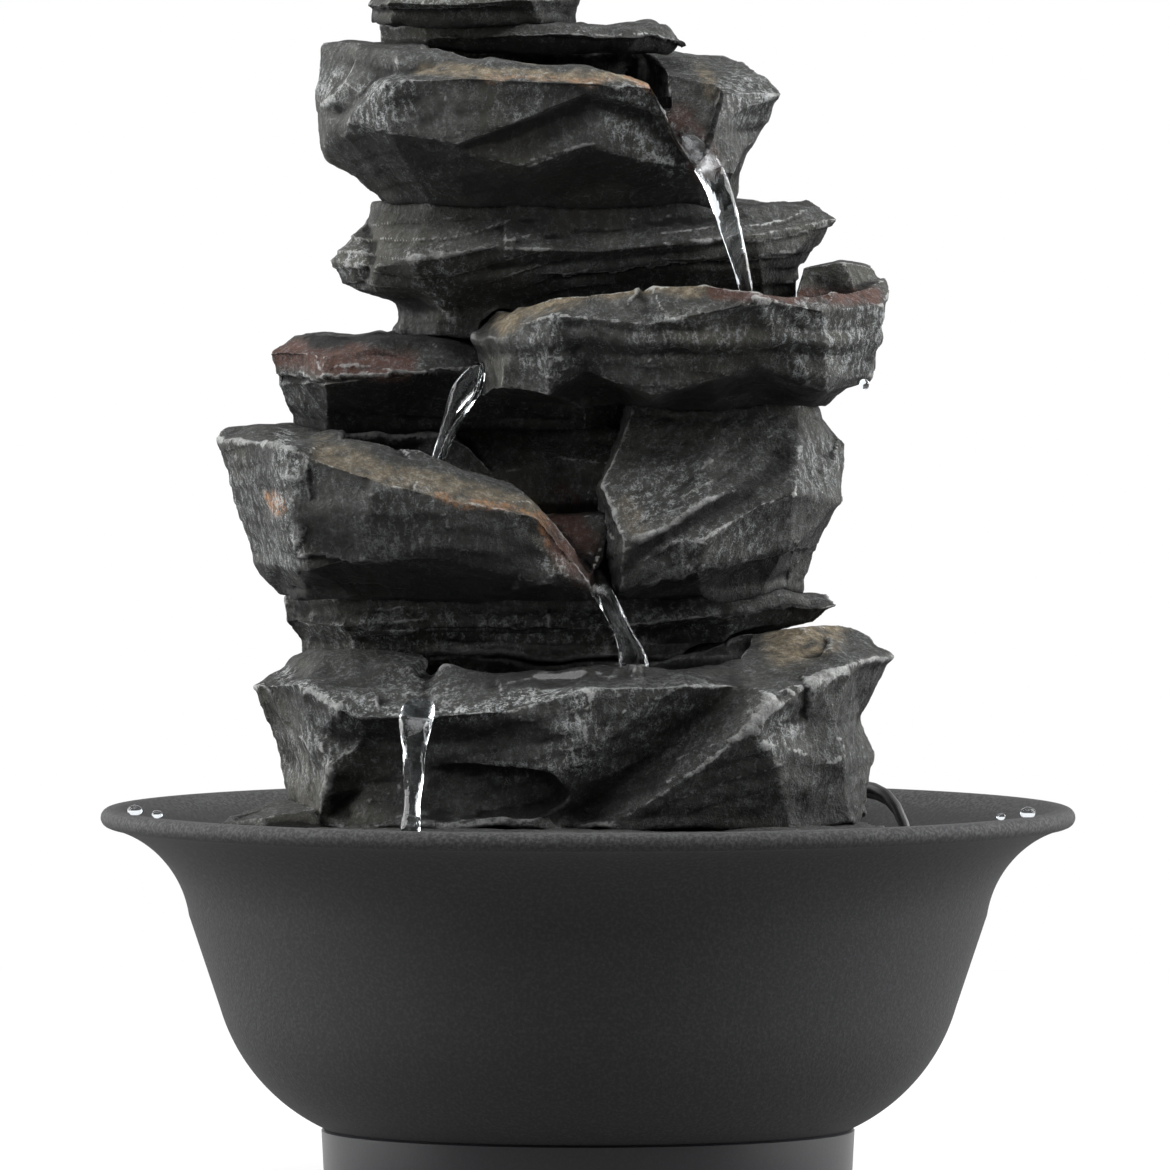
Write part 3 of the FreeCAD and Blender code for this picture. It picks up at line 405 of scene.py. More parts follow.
class Bench:
    """Turns meshes into pieces of the scene."""

    def __init__(self, record: dict[str, Any]) -> None:
        """Reads bodies and slots of the CAD nodes.

        Args:
            record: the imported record.
        """
        bodies = record["behaviour"]["bodies"]
        self.body_of = {node: body for body, nodes in bodies.items() for node in nodes}
        self.slot_of = {part["node"]: part["material_slot"] for part in record["subparts"]}

    def piece(self, name: str, data: bpy.types.ID, body: str, finish: bpy.types.Material,
              replaces: Sequence[str] = ()) -> bpy.types.Object:
        """Adds a piece to the scene.

        Args:
            name: name of the piece.
            data: its mesh or curve.
            body: CAD body that it rides on.
            finish: its material.
            replaces: CAD nodes that it stands for.

        Returns:
            The object.
        """
        made = bpy.data.objects.new(name, data)
        bpy.context.collection.objects.link(made)
        data.materials.clear()
        data.materials.append(finish)
        if replaces:
            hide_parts(*replaces)
        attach(made, body)
        LOG.info("%s rides on %s", name, body)
        return made

    def mesh(self, name: str, shape: bmesh.types.BMesh, smooth_angle: float = 40.0) -> bpy.types.Mesh:
        """Makes a mesh of a bmesh, smooth but for edges over an angle.

        Args:
            name: name of the mesh.
            shape: the bmesh, which is freed.
            smooth_angle: angle of the edges that stay sharp, in degrees.

        Returns:
            The mesh.
        """
        made = bpy.data.meshes.new(name)
        shape.to_mesh(made)
        shape.free()
        made.polygons.foreach_set("use_smooth", [True] * len(made.polygons))
        made.set_sharp_from_angle(angle=math.radians(smooth_angle))
        return made

    def merged_copy(self, node: str) -> bmesh.types.BMesh:
        """A copy of a CAD node's mesh with its corners merged."""
        shape = bmesh.new()
        shape.from_mesh(frame["nodes"][node].data)
        bmesh.ops.remove_doubles(shape, verts=shape.verts, dist=1e-6)
        return shape

    def smooth_node(self, node: str, finish: bpy.types.Material) -> bpy.types.Object:
        """Replaces a CAD node by a smooth-shaded copy.

        Args:
            node: name of the CAD node.
            finish: material of the copy.

        Returns:
            The new piece.
        """
        mesh = self.mesh(node + "_skin", self.merged_copy(node), 28.0)
        return self.piece(node + "_skin", mesh, self.body_of[node], finish, [node])


class LatticeNoise:
    """Smooth repeatable noise over points, from values on a lattice."""

    def __init__(self, seed: int) -> None:
        """Keeps the seed."""
        self.seed = seed

    def _corner(self, cell: np.ndarray) -> np.ndarray:
        """A value from -1 to 1 for each lattice corner."""
        mix = cell[:, 0] * 73856093 ^ cell[:, 1] * 19349663 ^ cell[:, 2] * 83492791 ^ self.seed * 2654435761
        mix = (mix ^ (mix >> 13)) * 1274126177 & 0x7FFFFFFF
        mix = (mix ^ (mix >> 15)) & 0xFFFF
        return mix / 32767.5 - 1.0

    def value(self, points: np.ndarray) -> np.ndarray:
        """Noise at points, one unit between lattice corners."""
        cell = np.floor(points).astype(np.int64)
        share = points - cell
        share = share * share * (3.0 - 2.0 * share)
        total = np.zeros(len(points))
        for corner in np.ndindex(2, 2, 2):
            weight = np.prod(np.where(corner, share, 1.0 - share), axis=1)
            total += weight * self._corner(cell + np.array(corner))
        return total

    def fractal(self, points: np.ndarray, octaves: int = 3, gain: float = 0.5) -> np.ndarray:
        """Sum of ever finer noise."""
        total = np.zeros(len(points))
        for octave in range(octaves):
            total += gain ** octave * self.value(points * 2.03 ** octave + 17.3 * octave)
        return total


SEAMS = LatticeNoise(7)

# Flake scars: sizes in millimetres, the rest as shares of a scar's size
SCAR_SIZES = (3.0, 8.0)
SCAR_REACH = 3.4
SCAR_LONG = 0.82
SCAR_RISE = 0.6
SCAR_SLANT = 0.35
SCAR_LEAN = 0.07
SCAR_LOW, SCAR_HIGH, SCAR_PLAIN = -0.35, 0.55, 0.3
# Beds: growth that closes the seam, and room for it, in millimetres
BED_GROWTH = 0.5
BED_SPARE = 0.6
BED_WAVE = 1.1
# Percentiles between which wear and the painted shade of hollows rise from none to full
WEAR_LIMITS = (87.0, 98.6)
HOLLOW_SHADE_LIMITS = (76.0, 97.5)
# Share of a painted zone's radius that is fully painted
SOLID_SHARE = 0.35


class Relief:
    """The points of a dense stone, in millimetres, with smoothing over neighbours."""

    def __init__(self, mesh: bpy.types.Mesh) -> None:
        """Reads a mesh.

        Args:
            mesh: the mesh, which write() changes.
        """
        self.mesh = mesh
        count = len(mesh.vertices)
        flat = np.empty(count * 3)
        mesh.vertices.foreach_get("co", flat)
        self.points = flat.reshape(-1, 3) / MM
        ends = np.empty(len(mesh.edges) * 2, dtype=np.int32)
        mesh.edges.foreach_get("vertices", ends)
        self.first, self.second = ends[0::2], ends[1::2]
        self.links = np.maximum(np.bincount(ends, minlength=count), 1).astype(float)

    def write(self) -> None:
        """Puts the points back into the mesh."""
        self.mesh.vertices.foreach_set("co", (self.points * MM).ravel())
        self.mesh.update()

    def normals(self) -> np.ndarray:
        """Outward normals of the points as they stand."""
        self.write()
        flat = np.empty(len(self.points) * 3)
        self.mesh.vertex_normals.foreach_get("vector", flat)
        return flat.reshape(-1, 3)

    def smooth(self, values: np.ndarray, rounds: int) -> np.ndarray:
        """Averages values over neighbours, some rounds over."""
        count = len(self.points)
        values = values.reshape(count, -1).copy()
        for _ in range(rounds):
            for axis in range(values.shape[1]):
                near = np.bincount(self.first, values[self.second, axis], count)
                near += np.bincount(self.second, values[self.first, axis], count)
                values[:, axis] = 0.4 * values[:, axis] + 0.6 * near / self.links
        return values

    def standing(self, rounds: int) -> np.ndarray:
        """How far each point stands out of its smoothed surroundings."""
        return np.sum((self.points - self.smooth(self.points, rounds)) * self.normals(), axis=1)

    def store(self, name: str, values: np.ndarray) -> None:
        """Keeps one value per point on the mesh."""
        made = self.mesh.attributes.new(name, "FLOAT", "POINT")
        made.data.foreach_set("value", np.clip(values, 0.0, 1.0).astype(np.float32))


class Cut(Enum):
    """Kinds of lines on a stone."""

    GROOVE = "groove"
    RIDGE = "ridge"
    LEDGE = "ledge"


class Paint(Enum):
    """Kinds of painted zones on a stone."""

    TAN = "tan"
    RUST = "rust"
    ORANGE = "orange"
    BRUSH = "brush"
    # Painted shadow: zones darkened under ledges and overhangs and in recesses.
    DARK = "dark"
    WET = "wet"


@dataclass(frozen=True)
class Crease:
    """A line on the front of a stone, in millimetres across and up."""

    cut: Cut
    line: tuple[Spot, ...]
    depth: float
    width: float


@dataclass(frozen=True)
class Zone:
    """A painted stretch on the front of a stone, in millimetres across and up."""

    radius: float
    strength: float
    line: tuple[Spot, ...]


def smoothstep(values: np.ndarray, low: float, high: float) -> np.ndarray:
    """A smooth rise from 0 at low to 1 at high."""
    share = np.clip((values - low) / (high - low), 0.0, 1.0)
    return share * share * (3.0 - 2.0 * share)


def line_distance(spots: np.ndarray, line: Sequence[Spot]) -> tuple[np.ndarray, np.ndarray]:
    """Distance of spots to a line.

    Args:
        spots: across and up of each point.
        line: corners of the line, left to right.

    Returns:
        The distance, and 1 above the line or -1 below it.
    """
    nearest = np.full(len(spots), 1e9)
    side = np.zeros(len(spots))
    corners = np.array(line if len(line) > 1 else (line[0], (line[0][0] + 0.01, line[0][1])))
    for start, end in zip(corners, corners[1:]):
        run = end - start
        share = np.clip((spots - start) @ run / (run @ run), 0.0, 1.0)
        gap = spots - (start + share[:, None] * run)
        distance = np.hypot(gap[:, 0], gap[:, 1])
        nearer = distance < nearest
        nearest = np.where(nearer, distance, nearest)
        side = np.where(nearer, np.sign(run[0] * gap[:, 1] - run[1] * gap[:, 0]), side)
    return nearest, side


@dataclass(frozen=True)
class Stone:
    """How one stone of the tower is dressed. Sizes in millimetres."""

    node: str
    seed: int
    voxel: float = 0.8
    flakes: int = 160
    beds: tuple[float, ...] = ()
    scar_depth: float = 2.0
    layer: float = 4.2
    layer_depth: float = 0.30
    layer_tilt: float = 0.10
    creases: tuple[Crease, ...] = ()
    zones: dict[Paint, list[Zone]] = field(default_factory=dict)

    def remeshed(self, bench: Bench) -> bpy.types.Mesh:
        """An even, dense skin of the CAD node.

        Args:
            bench: maker of pieces.

        Returns:
            The dense mesh.
        """
        rough = bench.mesh(self.node + "_rough", bench.merged_copy(self.node))
        holder = bpy.data.objects.new(self.node + "_rough", rough)
        bpy.context.collection.objects.link(holder)
        remesh = holder.modifiers.new("even", "REMESH")
        remesh.mode = "VOXEL"
        remesh.voxel_size = self.voxel * MM * 1.0
        graph = bpy.context.evaluated_depsgraph_get()
        dense = bpy.data.meshes.new_from_object(holder.evaluated_get(graph))
        bpy.data.objects.remove(holder)
        bpy.data.meshes.remove(rough)
        return dense

    def bedded(self, relief: Relief) -> np.ndarray:
        """0 where the stone is bedded on another, 1 away from there."""
        free = np.ones(len(relief.points))
        for level in self.beds:
            free = np.minimum(free, smoothstep(np.abs(relief.points[:, 2] - level), 0.3, 2.8))
        return free

    def scars(self, points: np.ndarray, chance: np.random.Generator) -> np.ndarray:
        """Long shallow flake scars that meet in sharp ridges.

        Args:
            points: the stone's points.
            chance: seeded random numbers.

        Returns:
            Height of each point above or below the plain face.
        """
        height = np.full(len(points), SCAR_HIGH)
        for centre in chance.integers(len(points), size=self.flakes):
            slope = -self.layer_tilt + SCAR_SLANT * chance.normal()
            along = np.array([1.0, 0.0, slope]) / np.hypot(1.0, slope)
            lean = SCAR_LEAN * chance.normal(size=3)
            size = chance.uniform(*SCAR_SIZES)
            gap = points - points[centre]
            near = np.flatnonzero(np.einsum("ij,ij->i", gap, gap) < (SCAR_REACH * size) ** 2)
            gap = gap[near]
            run = gap @ along
            spread = np.einsum("ij,ij->i", gap, gap) - SCAR_LONG * run * run
            height[near] = np.minimum(height[near], SCAR_RISE * spread / size ** 2 + gap @ lean)
        return np.clip(height, SCAR_LOW, SCAR_HIGH) - SCAR_PLAIN

    def crease(self, relief: Relief, spots: np.ndarray, normals: np.ndarray) -> None:
        """Cuts the listed lines.

        Args:
            relief: the stone's points.
            spots: across and up of each point, shaken a little.
            normals: outward normals.
        """
        facing = normals / np.maximum(np.linalg.norm(normals, axis=1), 1e-6)[:, None]
        front = smoothstep(-facing[:, 1], -0.15, 0.25) * smoothstep(-relief.points[:, 1], -12.0, -2.0)
        push = np.zeros(len(relief.points))
        for crease in self.creases:
            distance, side = line_distance(spots, crease.line)
            if crease.cut is Cut.GROOVE:
                push -= crease.depth * np.exp(-(distance / crease.width) ** 2)
            elif crease.cut is Cut.RIDGE:
                push += crease.depth * np.exp(-distance / crease.width)
            else:
                lip = 0.45 * crease.depth * np.exp(-distance / (2.2 * crease.width))
                under = -1.3 * crease.depth * np.exp(-distance / (1.1 * crease.width))
                push += np.where(side >= 0, lip, under)
        relief.points += (push * front)[:, None] * normals

    def carve(self, relief: Relief) -> np.ndarray:
        """Shapes the dense skin: scars, layers, lines and grain.

        Args:
            relief: the stone's points.

        Returns:
            How far each point stands out as an edge.
        """
        # Noise is read at points over its size in millimetres, shifted to part one layer from another
        noise = LatticeNoise(self.seed)
        chance = np.random.default_rng(self.seed)
        spare = np.array([BED_SPARE, BED_SPARE, 0.0]) if self.beds else np.zeros(3)
        low, high = relief.points.min(axis=0) - spare, relief.points.max(axis=0) + spare
        free = self.bedded(relief)
        normals = relief.smooth(relief.normals(), 3)
        points = relief.points
        patch = smoothstep(noise.fractal(points / 26.0 + 70.0, 2), -0.35, 0.35)
        warp = 0.20 * (noise.fractal(points / 19.0, 2) - np.abs(noise.fractal(points / 9.0 + 50.0, 3)))
        warp += self.scar_depth * (0.35 + 0.65 * patch) * self.scars(points, chance)
        relief.points = points + ((warp + 0.05) * free + BED_GROWTH * (1.0 - free))[:, None] * normals
        normals = relief.smooth(relief.normals(), 2)
        points = relief.points
        tilt = points[:, 2] + self.layer_tilt * points[:, 0] + 1.6 * noise.fractal(points / 22.0 + 9.0, 2)
        steps = tilt / self.layer + 0.6 * noise.value(points / 40.0 + 31.0)
        saw = steps - np.floor(steps)
        ledge = smoothstep(saw, 0.0, 0.12) * (1.0 - saw)
        push = self.layer_depth * (ledge - 0.4) * (1.0 - patch)
        bedding = noise.fractal(points / np.array([14.0, 14.0, 1.3]) + 120.0, 2)
        push += 0.10 * bedding
        relief.points = points + (push * free)[:, None] * normals
        normals = relief.smooth(relief.normals(), 2)
        shaken = relief.points + 0.7 * np.stack(
            [noise.fractal(relief.points / 5.0 + 200.0 + 40.0 * i, 2) for i in range(3)], axis=1)
        self.crease(relief, shaken[:, [0, 2]], normals * free[:, None])
        edge = relief.standing(2)
        fine = 0.12 * noise.fractal(relief.points / 2.4 + 300.0, 2)
        relief.points += (fine * free)[:, None] * normals
        relief.points = np.clip(relief.points, low, high)
        for level in self.beds:
            spots = np.column_stack([relief.points[:, :2] / 10.0, np.full(len(relief.points), level)])
            near = 1.0 - smoothstep(np.abs(relief.points[:, 2] - level), 0.8, 6.0)
            relief.points[:, 2] += BED_WAVE * SEAMS.fractal(spots, 3) * near
        return edge * (0.35 + 0.65 * free)

    def colour(self, relief: Relief, edge: np.ndarray) -> None:
        """Stores wear, painted shade for hollows, beds and faces that turn up and down, and painted zones
        on the points.

        Args:
            relief: the stone's points.
            edge: how far each point stands out as an edge.
        """
        noise = LatticeNoise(self.seed + 500)
        normals = relief.normals()
        wide = relief.standing(24)
        rubbed, hollow = edge + 0.10 * wide, -0.3 * edge - 0.7 * wide
        relief.store("wear", smoothstep(rubbed, *np.percentile(rubbed, WEAR_LIMITS)))
        # Painted shadow and shade: the lowest millimetres of a bedded stone, at its joint, and its hollows
        # are darkened.
        seam = 0.75 * (1.0 - smoothstep(relief.points[:, 2] - relief.points[:, 2].min(), 1.0, 5.0))
        deep = smoothstep(hollow, *np.percentile(hollow, HOLLOW_SHADE_LIMITS))
        relief.store("hollow_and_bed_shade", np.maximum(deep, seam) if self.beds else deep)
        facing = relief.smooth(normals, 5)
        # Painted shade masks: under darkens faces that turn down, top darkens faces that turn up.
        relief.store("under", smoothstep(-facing[:, 2], -0.10, 0.65))
        relief.store("top", smoothstep(facing[:, 2], 0.45, 0.95))
        shaken = relief.points + 1.2 * np.stack(
            [noise.fractal(relief.points / 7.0 + 90.0 * i, 3) for i in range(3)], axis=1)
        spots = shaken[:, [0, 2]]
        front = smoothstep(-relief.points[:, 1], -10.0, 2.0)
        # The dark zones are painted shadow; the other zones are paint and wetting.
        for paint in Paint:
            amount = np.zeros(len(relief.points))
            for patch in self.zones.get(paint, ()):
                distance, _ = line_distance(spots, patch.line)
                reach = smoothstep(-distance, -patch.radius, -SOLID_SHARE * patch.radius)
                amount = np.maximum(amount, patch.strength * reach * front)
            if paint is Paint.TAN:
                amount *= smoothstep(facing[:, 2], -0.15, 0.25)
            relief.store(paint.value, amount)

    def build(self, bench: Bench, paint: bpy.types.Material) -> bpy.types.Object:
        """Makes the dressed stone.

        Args:
            bench: maker of pieces.
            paint: the tower's paint.

        Returns:
            The piece.
        """
        dense = self.remeshed(bench)
        relief = Relief(dense)
        edge = self.carve(relief)
        relief.write()
        self.colour(relief, edge)
        dense.polygons.foreach_set("use_smooth", [True] * len(dense.polygons))
        name = self.node + "_dressed"
        LOG.info("%s has %d points", name, len(dense.vertices))
        return bench.piece(name, dense, "tower", paint, [self.node])


def ledge(line: tuple[Spot, ...], depth: float = 0.9, width: float = 2.2) -> Crease:
    """A lip with a shadow under it."""
    return Crease(Cut.LEDGE, line, depth, width)


def ridge(line: tuple[Spot, ...], depth: float = 0.8, width: float = 3.2) -> Crease:
    """A raised edge."""
    return Crease(Cut.RIDGE, line, depth, width)


def groove(line: tuple[Spot, ...], depth: float = 1.8, width: float = 1.8) -> Crease:
    """A cut line."""
    return Crease(Cut.GROOVE, line, depth, width)


def zone(radius: float, strength: float, *line: Spot) -> Zone:
    """A painted stretch along a line or about one spot."""
    return Zone(radius, strength, line)


# Each stone's dark zones are painted shadow under its ledges and overhangs and in its recesses.
STONES: tuple[Stone, ...] = (
    Stone("deck_stone", 11, 0.75, 260, scar_depth=0.9, layer_depth=0.4),
    Stone("base_stone", 12, 0.68, 440, (81, 116), layer_tilt=-0.35, creases=(
        ridge(((34.5, 106.8), (45.2, 110.2), (55.9, 116.2))),
        ridge(((17, 91.6), (28, 99.5), (39.4, 107.6)), 0.8),
        ridge(((35, 107), (37.7, 99.6), (53.7, 93.8))),
        ridge(((-61.4, 99.6), (-53.9, 93.2), (-56.1, 82.1)), 1.2, 2.2),
        ridge(((0, 110.2), (-1.1, 100.7))),
    ), zones={
        Paint.DARK: [
            zone(5, 0.75, (-1.7, 83.6), (11.1, 91.1), (21.7, 101.7), (31, 110)),
            zone(5.5, 0.5, (-52, 88), (-30, 89), (-8, 88)),
            zone(3.5, 0.6, (-40, 83.5), (0, 83.5), (55, 84)),
            zone(3, 0.6, (-48, 101.5), (-30, 101.5), (-12, 103)),
            zone(3.6, 0.4, (-48, 112.5), (-20, 113.5), (24, 113.5))],
        Paint.TAN: [zone(6.5, 0.95, (42, 119.8), (51.6, 123))],
        Paint.BRUSH: [
            zone(2.2, 1, (-71, 115.3), (-62, 110.8), (-51.6, 107), (-40.4, 105.1)),
            zone(2, 1, (-32.2, 104.8), (-20.3, 107), (-9.8, 109.3), (-0.9, 111.8), (29, 111.8)),
            zone(3, 1, (-0.9, 110), (-5.3, 95.1), (-18.8, 93.6)), zone(9, 0.85, (-1.7, 98.5)),
            zone(7, 0.9, (39.9, 101.7)), zone(9, 0.45, (-50.7, 103.9), (-61.4, 95.3)),
            zone(12, 0.35, (17.5, 103.9)), zone(11, 0.4, (-35.8, 110.2))],
        Paint.WET: [zone(5, 0.9, (-20, 114.5), (30, 114.5)), zone(5, 0.7, (-36.8, 104), (-37.5, 82))],
    }),
    Stone("lower_strata", 13, 0.62, 198, (116, 129), layer=3, layer_depth=0.6, layer_tilt=-0.12, creases=(
        groove(((-63.5, 124), (-35.8, 122.5), (-6, 122)), 0.9, 1.4),
        groove(((11.1, 120.9), (32.4, 125.5), (51.6, 128.5)), 0.9, 1.4),
    ), zones={
        Paint.BRUSH: [zone(6, 0.6, (-58, 121), (-30, 121), (30, 123))],
        Paint.WET: [zone(4, 0.6, (-30, 116), (30, 116))],
    }),
    Stone("left_basin_stone", 14, 0.62, 330, (129, 164), layer_tilt=0.15, creases=(
        ridge(((-65.2, 163.5), (-66.1, 159.3), (-64.6, 146.9)), 1.1),
        ridge(((-78, 163.5), (-68.9, 151.8), (-59.7, 138)), 1),
        ledge(((-59.7, 139), (-48.6, 137.3), (-34.7, 138.4))),
        ledge(((-61.4, 131.6), (-48.6, 132.6), (-33.7, 129.4), (-14.5, 126.9)), 0.7),
    ), zones={
        Paint.DARK: [
            zone(6, 0.8, (-58, 134), (-40, 133), (-20, 131), (-5, 128)),
            zone(7, 0.72, (-58, 144), (-46, 143), (-28, 141), (-14, 138))],
        Paint.TAN: [
            zone(3.4, 0.65, (-57.3, 161), (-44.1, 156.8), (-28.2, 152.8), (-13.4, 149.2), (-9.2, 144),
                 (-2.8, 134.1))],
        Paint.RUST: [zone(6, 0.9, (-6, 147.6), (0.4, 135.8))],
        Paint.ORANGE: [
            zone(1.8, 0.9, (-68.2, 151.8), (-65.2, 148.2)),
            zone(0.9, 0.55, (-31.6, 152.2), (-11.3, 147.6), (-7.7, 142.2))],
        Paint.BRUSH: [
            zone(2.4, 1, (-65.2, 163.5), (-66.1, 159.3), (-64.6, 146.9)), zone(7, 0.9, (-62.5, 156.1)),
            zone(13, 0.35, (-40.1, 146.5)), zone(9, 0.55, (-74.2, 152.8), (-66, 140)),
            zone(4, 0.6, (-7, 138))],
        Paint.WET: [zone(4.5, 0.9, (0.4, 137.8), (2, 132))],
    }),
    Stone("buttress_stone", 15, 0.62, 242, (129, 170), layer_tilt=-0.55, creases=(
        ridge(((1.5, 155), (13.2, 157.1), (26, 158.2)), 0.4),
        ridge(((1.5, 155), (11.1, 143.3)), 0.4),
        ledge(((6.8, 130.1), (19.6, 133.7), (32.4, 136.9), (45.2, 139))),
        ridge(((42.4, 153.3), (54.4, 150.3))),
        ridge(((11.1, 143.3), (21.7, 148.6), (26, 158.2))),
        ridge(((42.4, 153.3), (45.8, 163.5))),
    ), zones={
        Paint.DARK: [
            zone(5, 0.7, (5, 131), (20, 133), (40, 136)),
            zone(2.6, 0.75, (3, 132), (16.5, 142.8), (30, 150.5), (43, 158))],
        Paint.TAN: [zone(3, 0.4, (8, 150), (11.5, 143), (9, 136))],
        Paint.BRUSH: [
            zone(8, 0.5, (11.1, 150.8), (20, 154)), zone(8, 0.5, (49.5, 157.1)),
            zone(8, 0.45, (21.7, 138), (34, 141))],
    }),
    Stone("left_shelf_stone", 16, 0.62, 176, (164, 184.5), layer_depth=0.7, creases=(
        ledge(((-67.8, 176.3), (-55, 175.7), (-29.4, 178))),
        ledge(((-66.7, 183.8), (-52.9, 185.3), (-33.7, 182.7)), 0.6, 1.6),
    ), zones={
        Paint.DARK: [
            zone(5, 0.9, (-58, 185.6), (-44, 186), (-28, 184)),
            zone(5, 0.6, (-52, 172), (-40, 172), (-28, 174))],
        Paint.RUST: [zone(4.6, 0.9, (-66.7, 180.6), (-55, 179.5), (-40, 179.2))],
        Paint.BRUSH: [zone(6, 0.5, (-62, 172))],
    }),
    Stone("right_basin_stone", 17, 0.62, 286, (170, 184.5), creases=(
        ridge(((36, 194), (38.8, 188.1), (46.3, 177.4), (59.1, 176.8)), 1.1),
        ridge(((-7, 189.1), (-5.5, 178.5), (-1.3, 180.2), (2.6, 185.9)), 1),
        ledge(((2.6, 185.9), (13.2, 184.6), (32.4, 183.8)), 0.5),
        ridge(((46.3, 178), (55.9, 182.7), (62.2, 188.7)), 0.7),
    ), zones={
        Paint.DARK: [
            zone(3.4, 0.9, (-16, 170.5), (-8.5, 170), (-1, 175), (13.5, 169.5), (26, 173), (36, 175.5),
                 (51, 170.5))],
        Paint.TAN: [zone(3.5, 1, (-18.8, 188.1), (-11.3, 192.8), (2.6, 195.5), (26, 197.9))],
        Paint.RUST: [zone(2.6, 0.9, (27.2, 195.4), (45.2, 194.6), (61.2, 193.4))],
        Paint.BRUSH: [
            zone(2.4, 1, (36, 194), (38.8, 188.1), (46.3, 177.4)),
            zone(2, 0.9, (-7, 189.1), (-5.5, 178.5)), zone(8, 0.55, (-9.2, 182.7)),
            zone(8, 0.45, (15.3, 184.8), (27, 186)), zone(9, 0.8, (45.2, 186.9), (55, 184)),
            zone(6, 0.7, (60.1, 187))],
        Paint.WET: [zone(4, 0.8, (-22, 188), (-25, 180))],
    }),
    Stone("mid_strata", 18, 0.62, 264, (184.5, 213), layer=3.4, layer_depth=0.6, layer_tilt=-0.12, creases=(
        groove(((-48, 208), (-46.5, 203), (-48.5, 197)), 1.3, 1.6),
        groove(((-9.2, 207.1), (11.1, 208.9), (32.4, 211.5)), 0.8, 1.2),
        groove(((-20, 200), (4.7, 201.6), (31.3, 204.2)), 0.7, 1.2),
        ridge(((-37.5, 201.5), (-31.6, 193.4), (-28.4, 187)), 0.9),
        ridge(((-31.6, 203), (-26.9, 193.4)), 0.7),
        ledge(((-6, 198.5), (11.1, 199.4), (23.9, 200.9), (43.1, 202.3))),
    ), zones={
        Paint.DARK: [
            zone(5, 0.35, (-44, 199), (-34, 197), (-22, 199)),
            zone(5.5, 0.3, (-20, 196), (10, 197), (40, 199)),
            zone(4.2, 0.45, (-44, 210.5), (-20, 210), (10, 210), (28, 211))],
        Paint.BRUSH: [
            zone(2.2, 1, (-37.5, 201.5), (-31.6, 193.4), (-28.4, 187)), zone(7, 0.7, (-31.4, 198.6)),
            zone(6, 0.95, (-50.7, 201.5))],
        Paint.WET: [zone(4, 0.6, (-20, 190), (40, 190))],
    }),
    Stone("upper_basin_stone", 19, 0.62, 330, (213, 246), layer_tilt=-0.25, creases=(
        groove(((-53.3, 233.5), (-45.4, 241.4), (-31.6, 245.8)), 1.6, 1.5),
        ridge(((0.4, 239.9), (1.3, 233.9), (0.9, 227.1)), 0.6),
        ridge(((-53.9, 244.6), (-54.4, 237.1), (-55.4, 225.4)), 0.9),
    ), zones={
        Paint.DARK: [
            zone(3, 0.55, (-52, 227.5), (-40, 224.5), (-28, 222), (-16, 225), (-8, 229), (0, 233)),
            zone(5.5, 0.85, (-24, 217), (-8, 218.5), (3, 221.5), (12, 219.5))],
        Paint.TAN: [
            zone(1.9, 0.85, (-36, 242.6), (-18.8, 241.9), (-6, 241.3), (2.6, 240.6), (12.8, 239.4)),
            zone(2.4, 0.7, (23.9, 244.6), (26.4, 237.1))],
        Paint.RUST: [zone(5, 0.8, (19.7, 231.6), (25.6, 222.2))],
        Paint.ORANGE: [
            zone(1.7, 0.7, (8.1, 240.6), (14.5, 237.7)),
            zone(0.8, 0.3, (-22, 241.2), (-8, 240.6), (4, 240))],
        Paint.BRUSH: [
            zone(8.5, 0.9, (-43.3, 235)), zone(9, 0.9, (9.1, 232.8), (16, 225)),
            zone(9, 0.35, (-14.2, 236)), zone(6, 0.6, (-56.1, 238.2)), zone(9, 0.6, (33.5, 236))],
        Paint.WET: [zone(3.5, 0.8, (22, 228), (26, 221))],
    }),
    Stone("cap_slab", 20, 0.6, 132, (246, 251.5), layer=2.2, creases=(
        ledge(((-10.2, 250.5), (11.1, 249.7), (21.7, 248.4)), 0.5, 1.2),
    )),
    Stone("crown_stone", 21, 0.6, 176, (251.5,), creases=(
        ledge(((-47.5, 255.6), (-33.7, 255.4), (-20.9, 255.6)), 0.6, 1.4),
    ), zones={
        Paint.BRUSH: [zone(5, 0.5, (-40, 258), (-24, 258))],
    }),
)


@dataclass
class RockTower:
    """The stacked stones."""

    stones: tuple[Stone, ...] = STONES
    paint: SlatePaint = field(default_factory=SlatePaint)

    def build(self, bench: Bench) -> None:
        """Dresses every stone."""
        material = self.paint.material()
        for stone in self.stones:
            stone.build(bench, material)


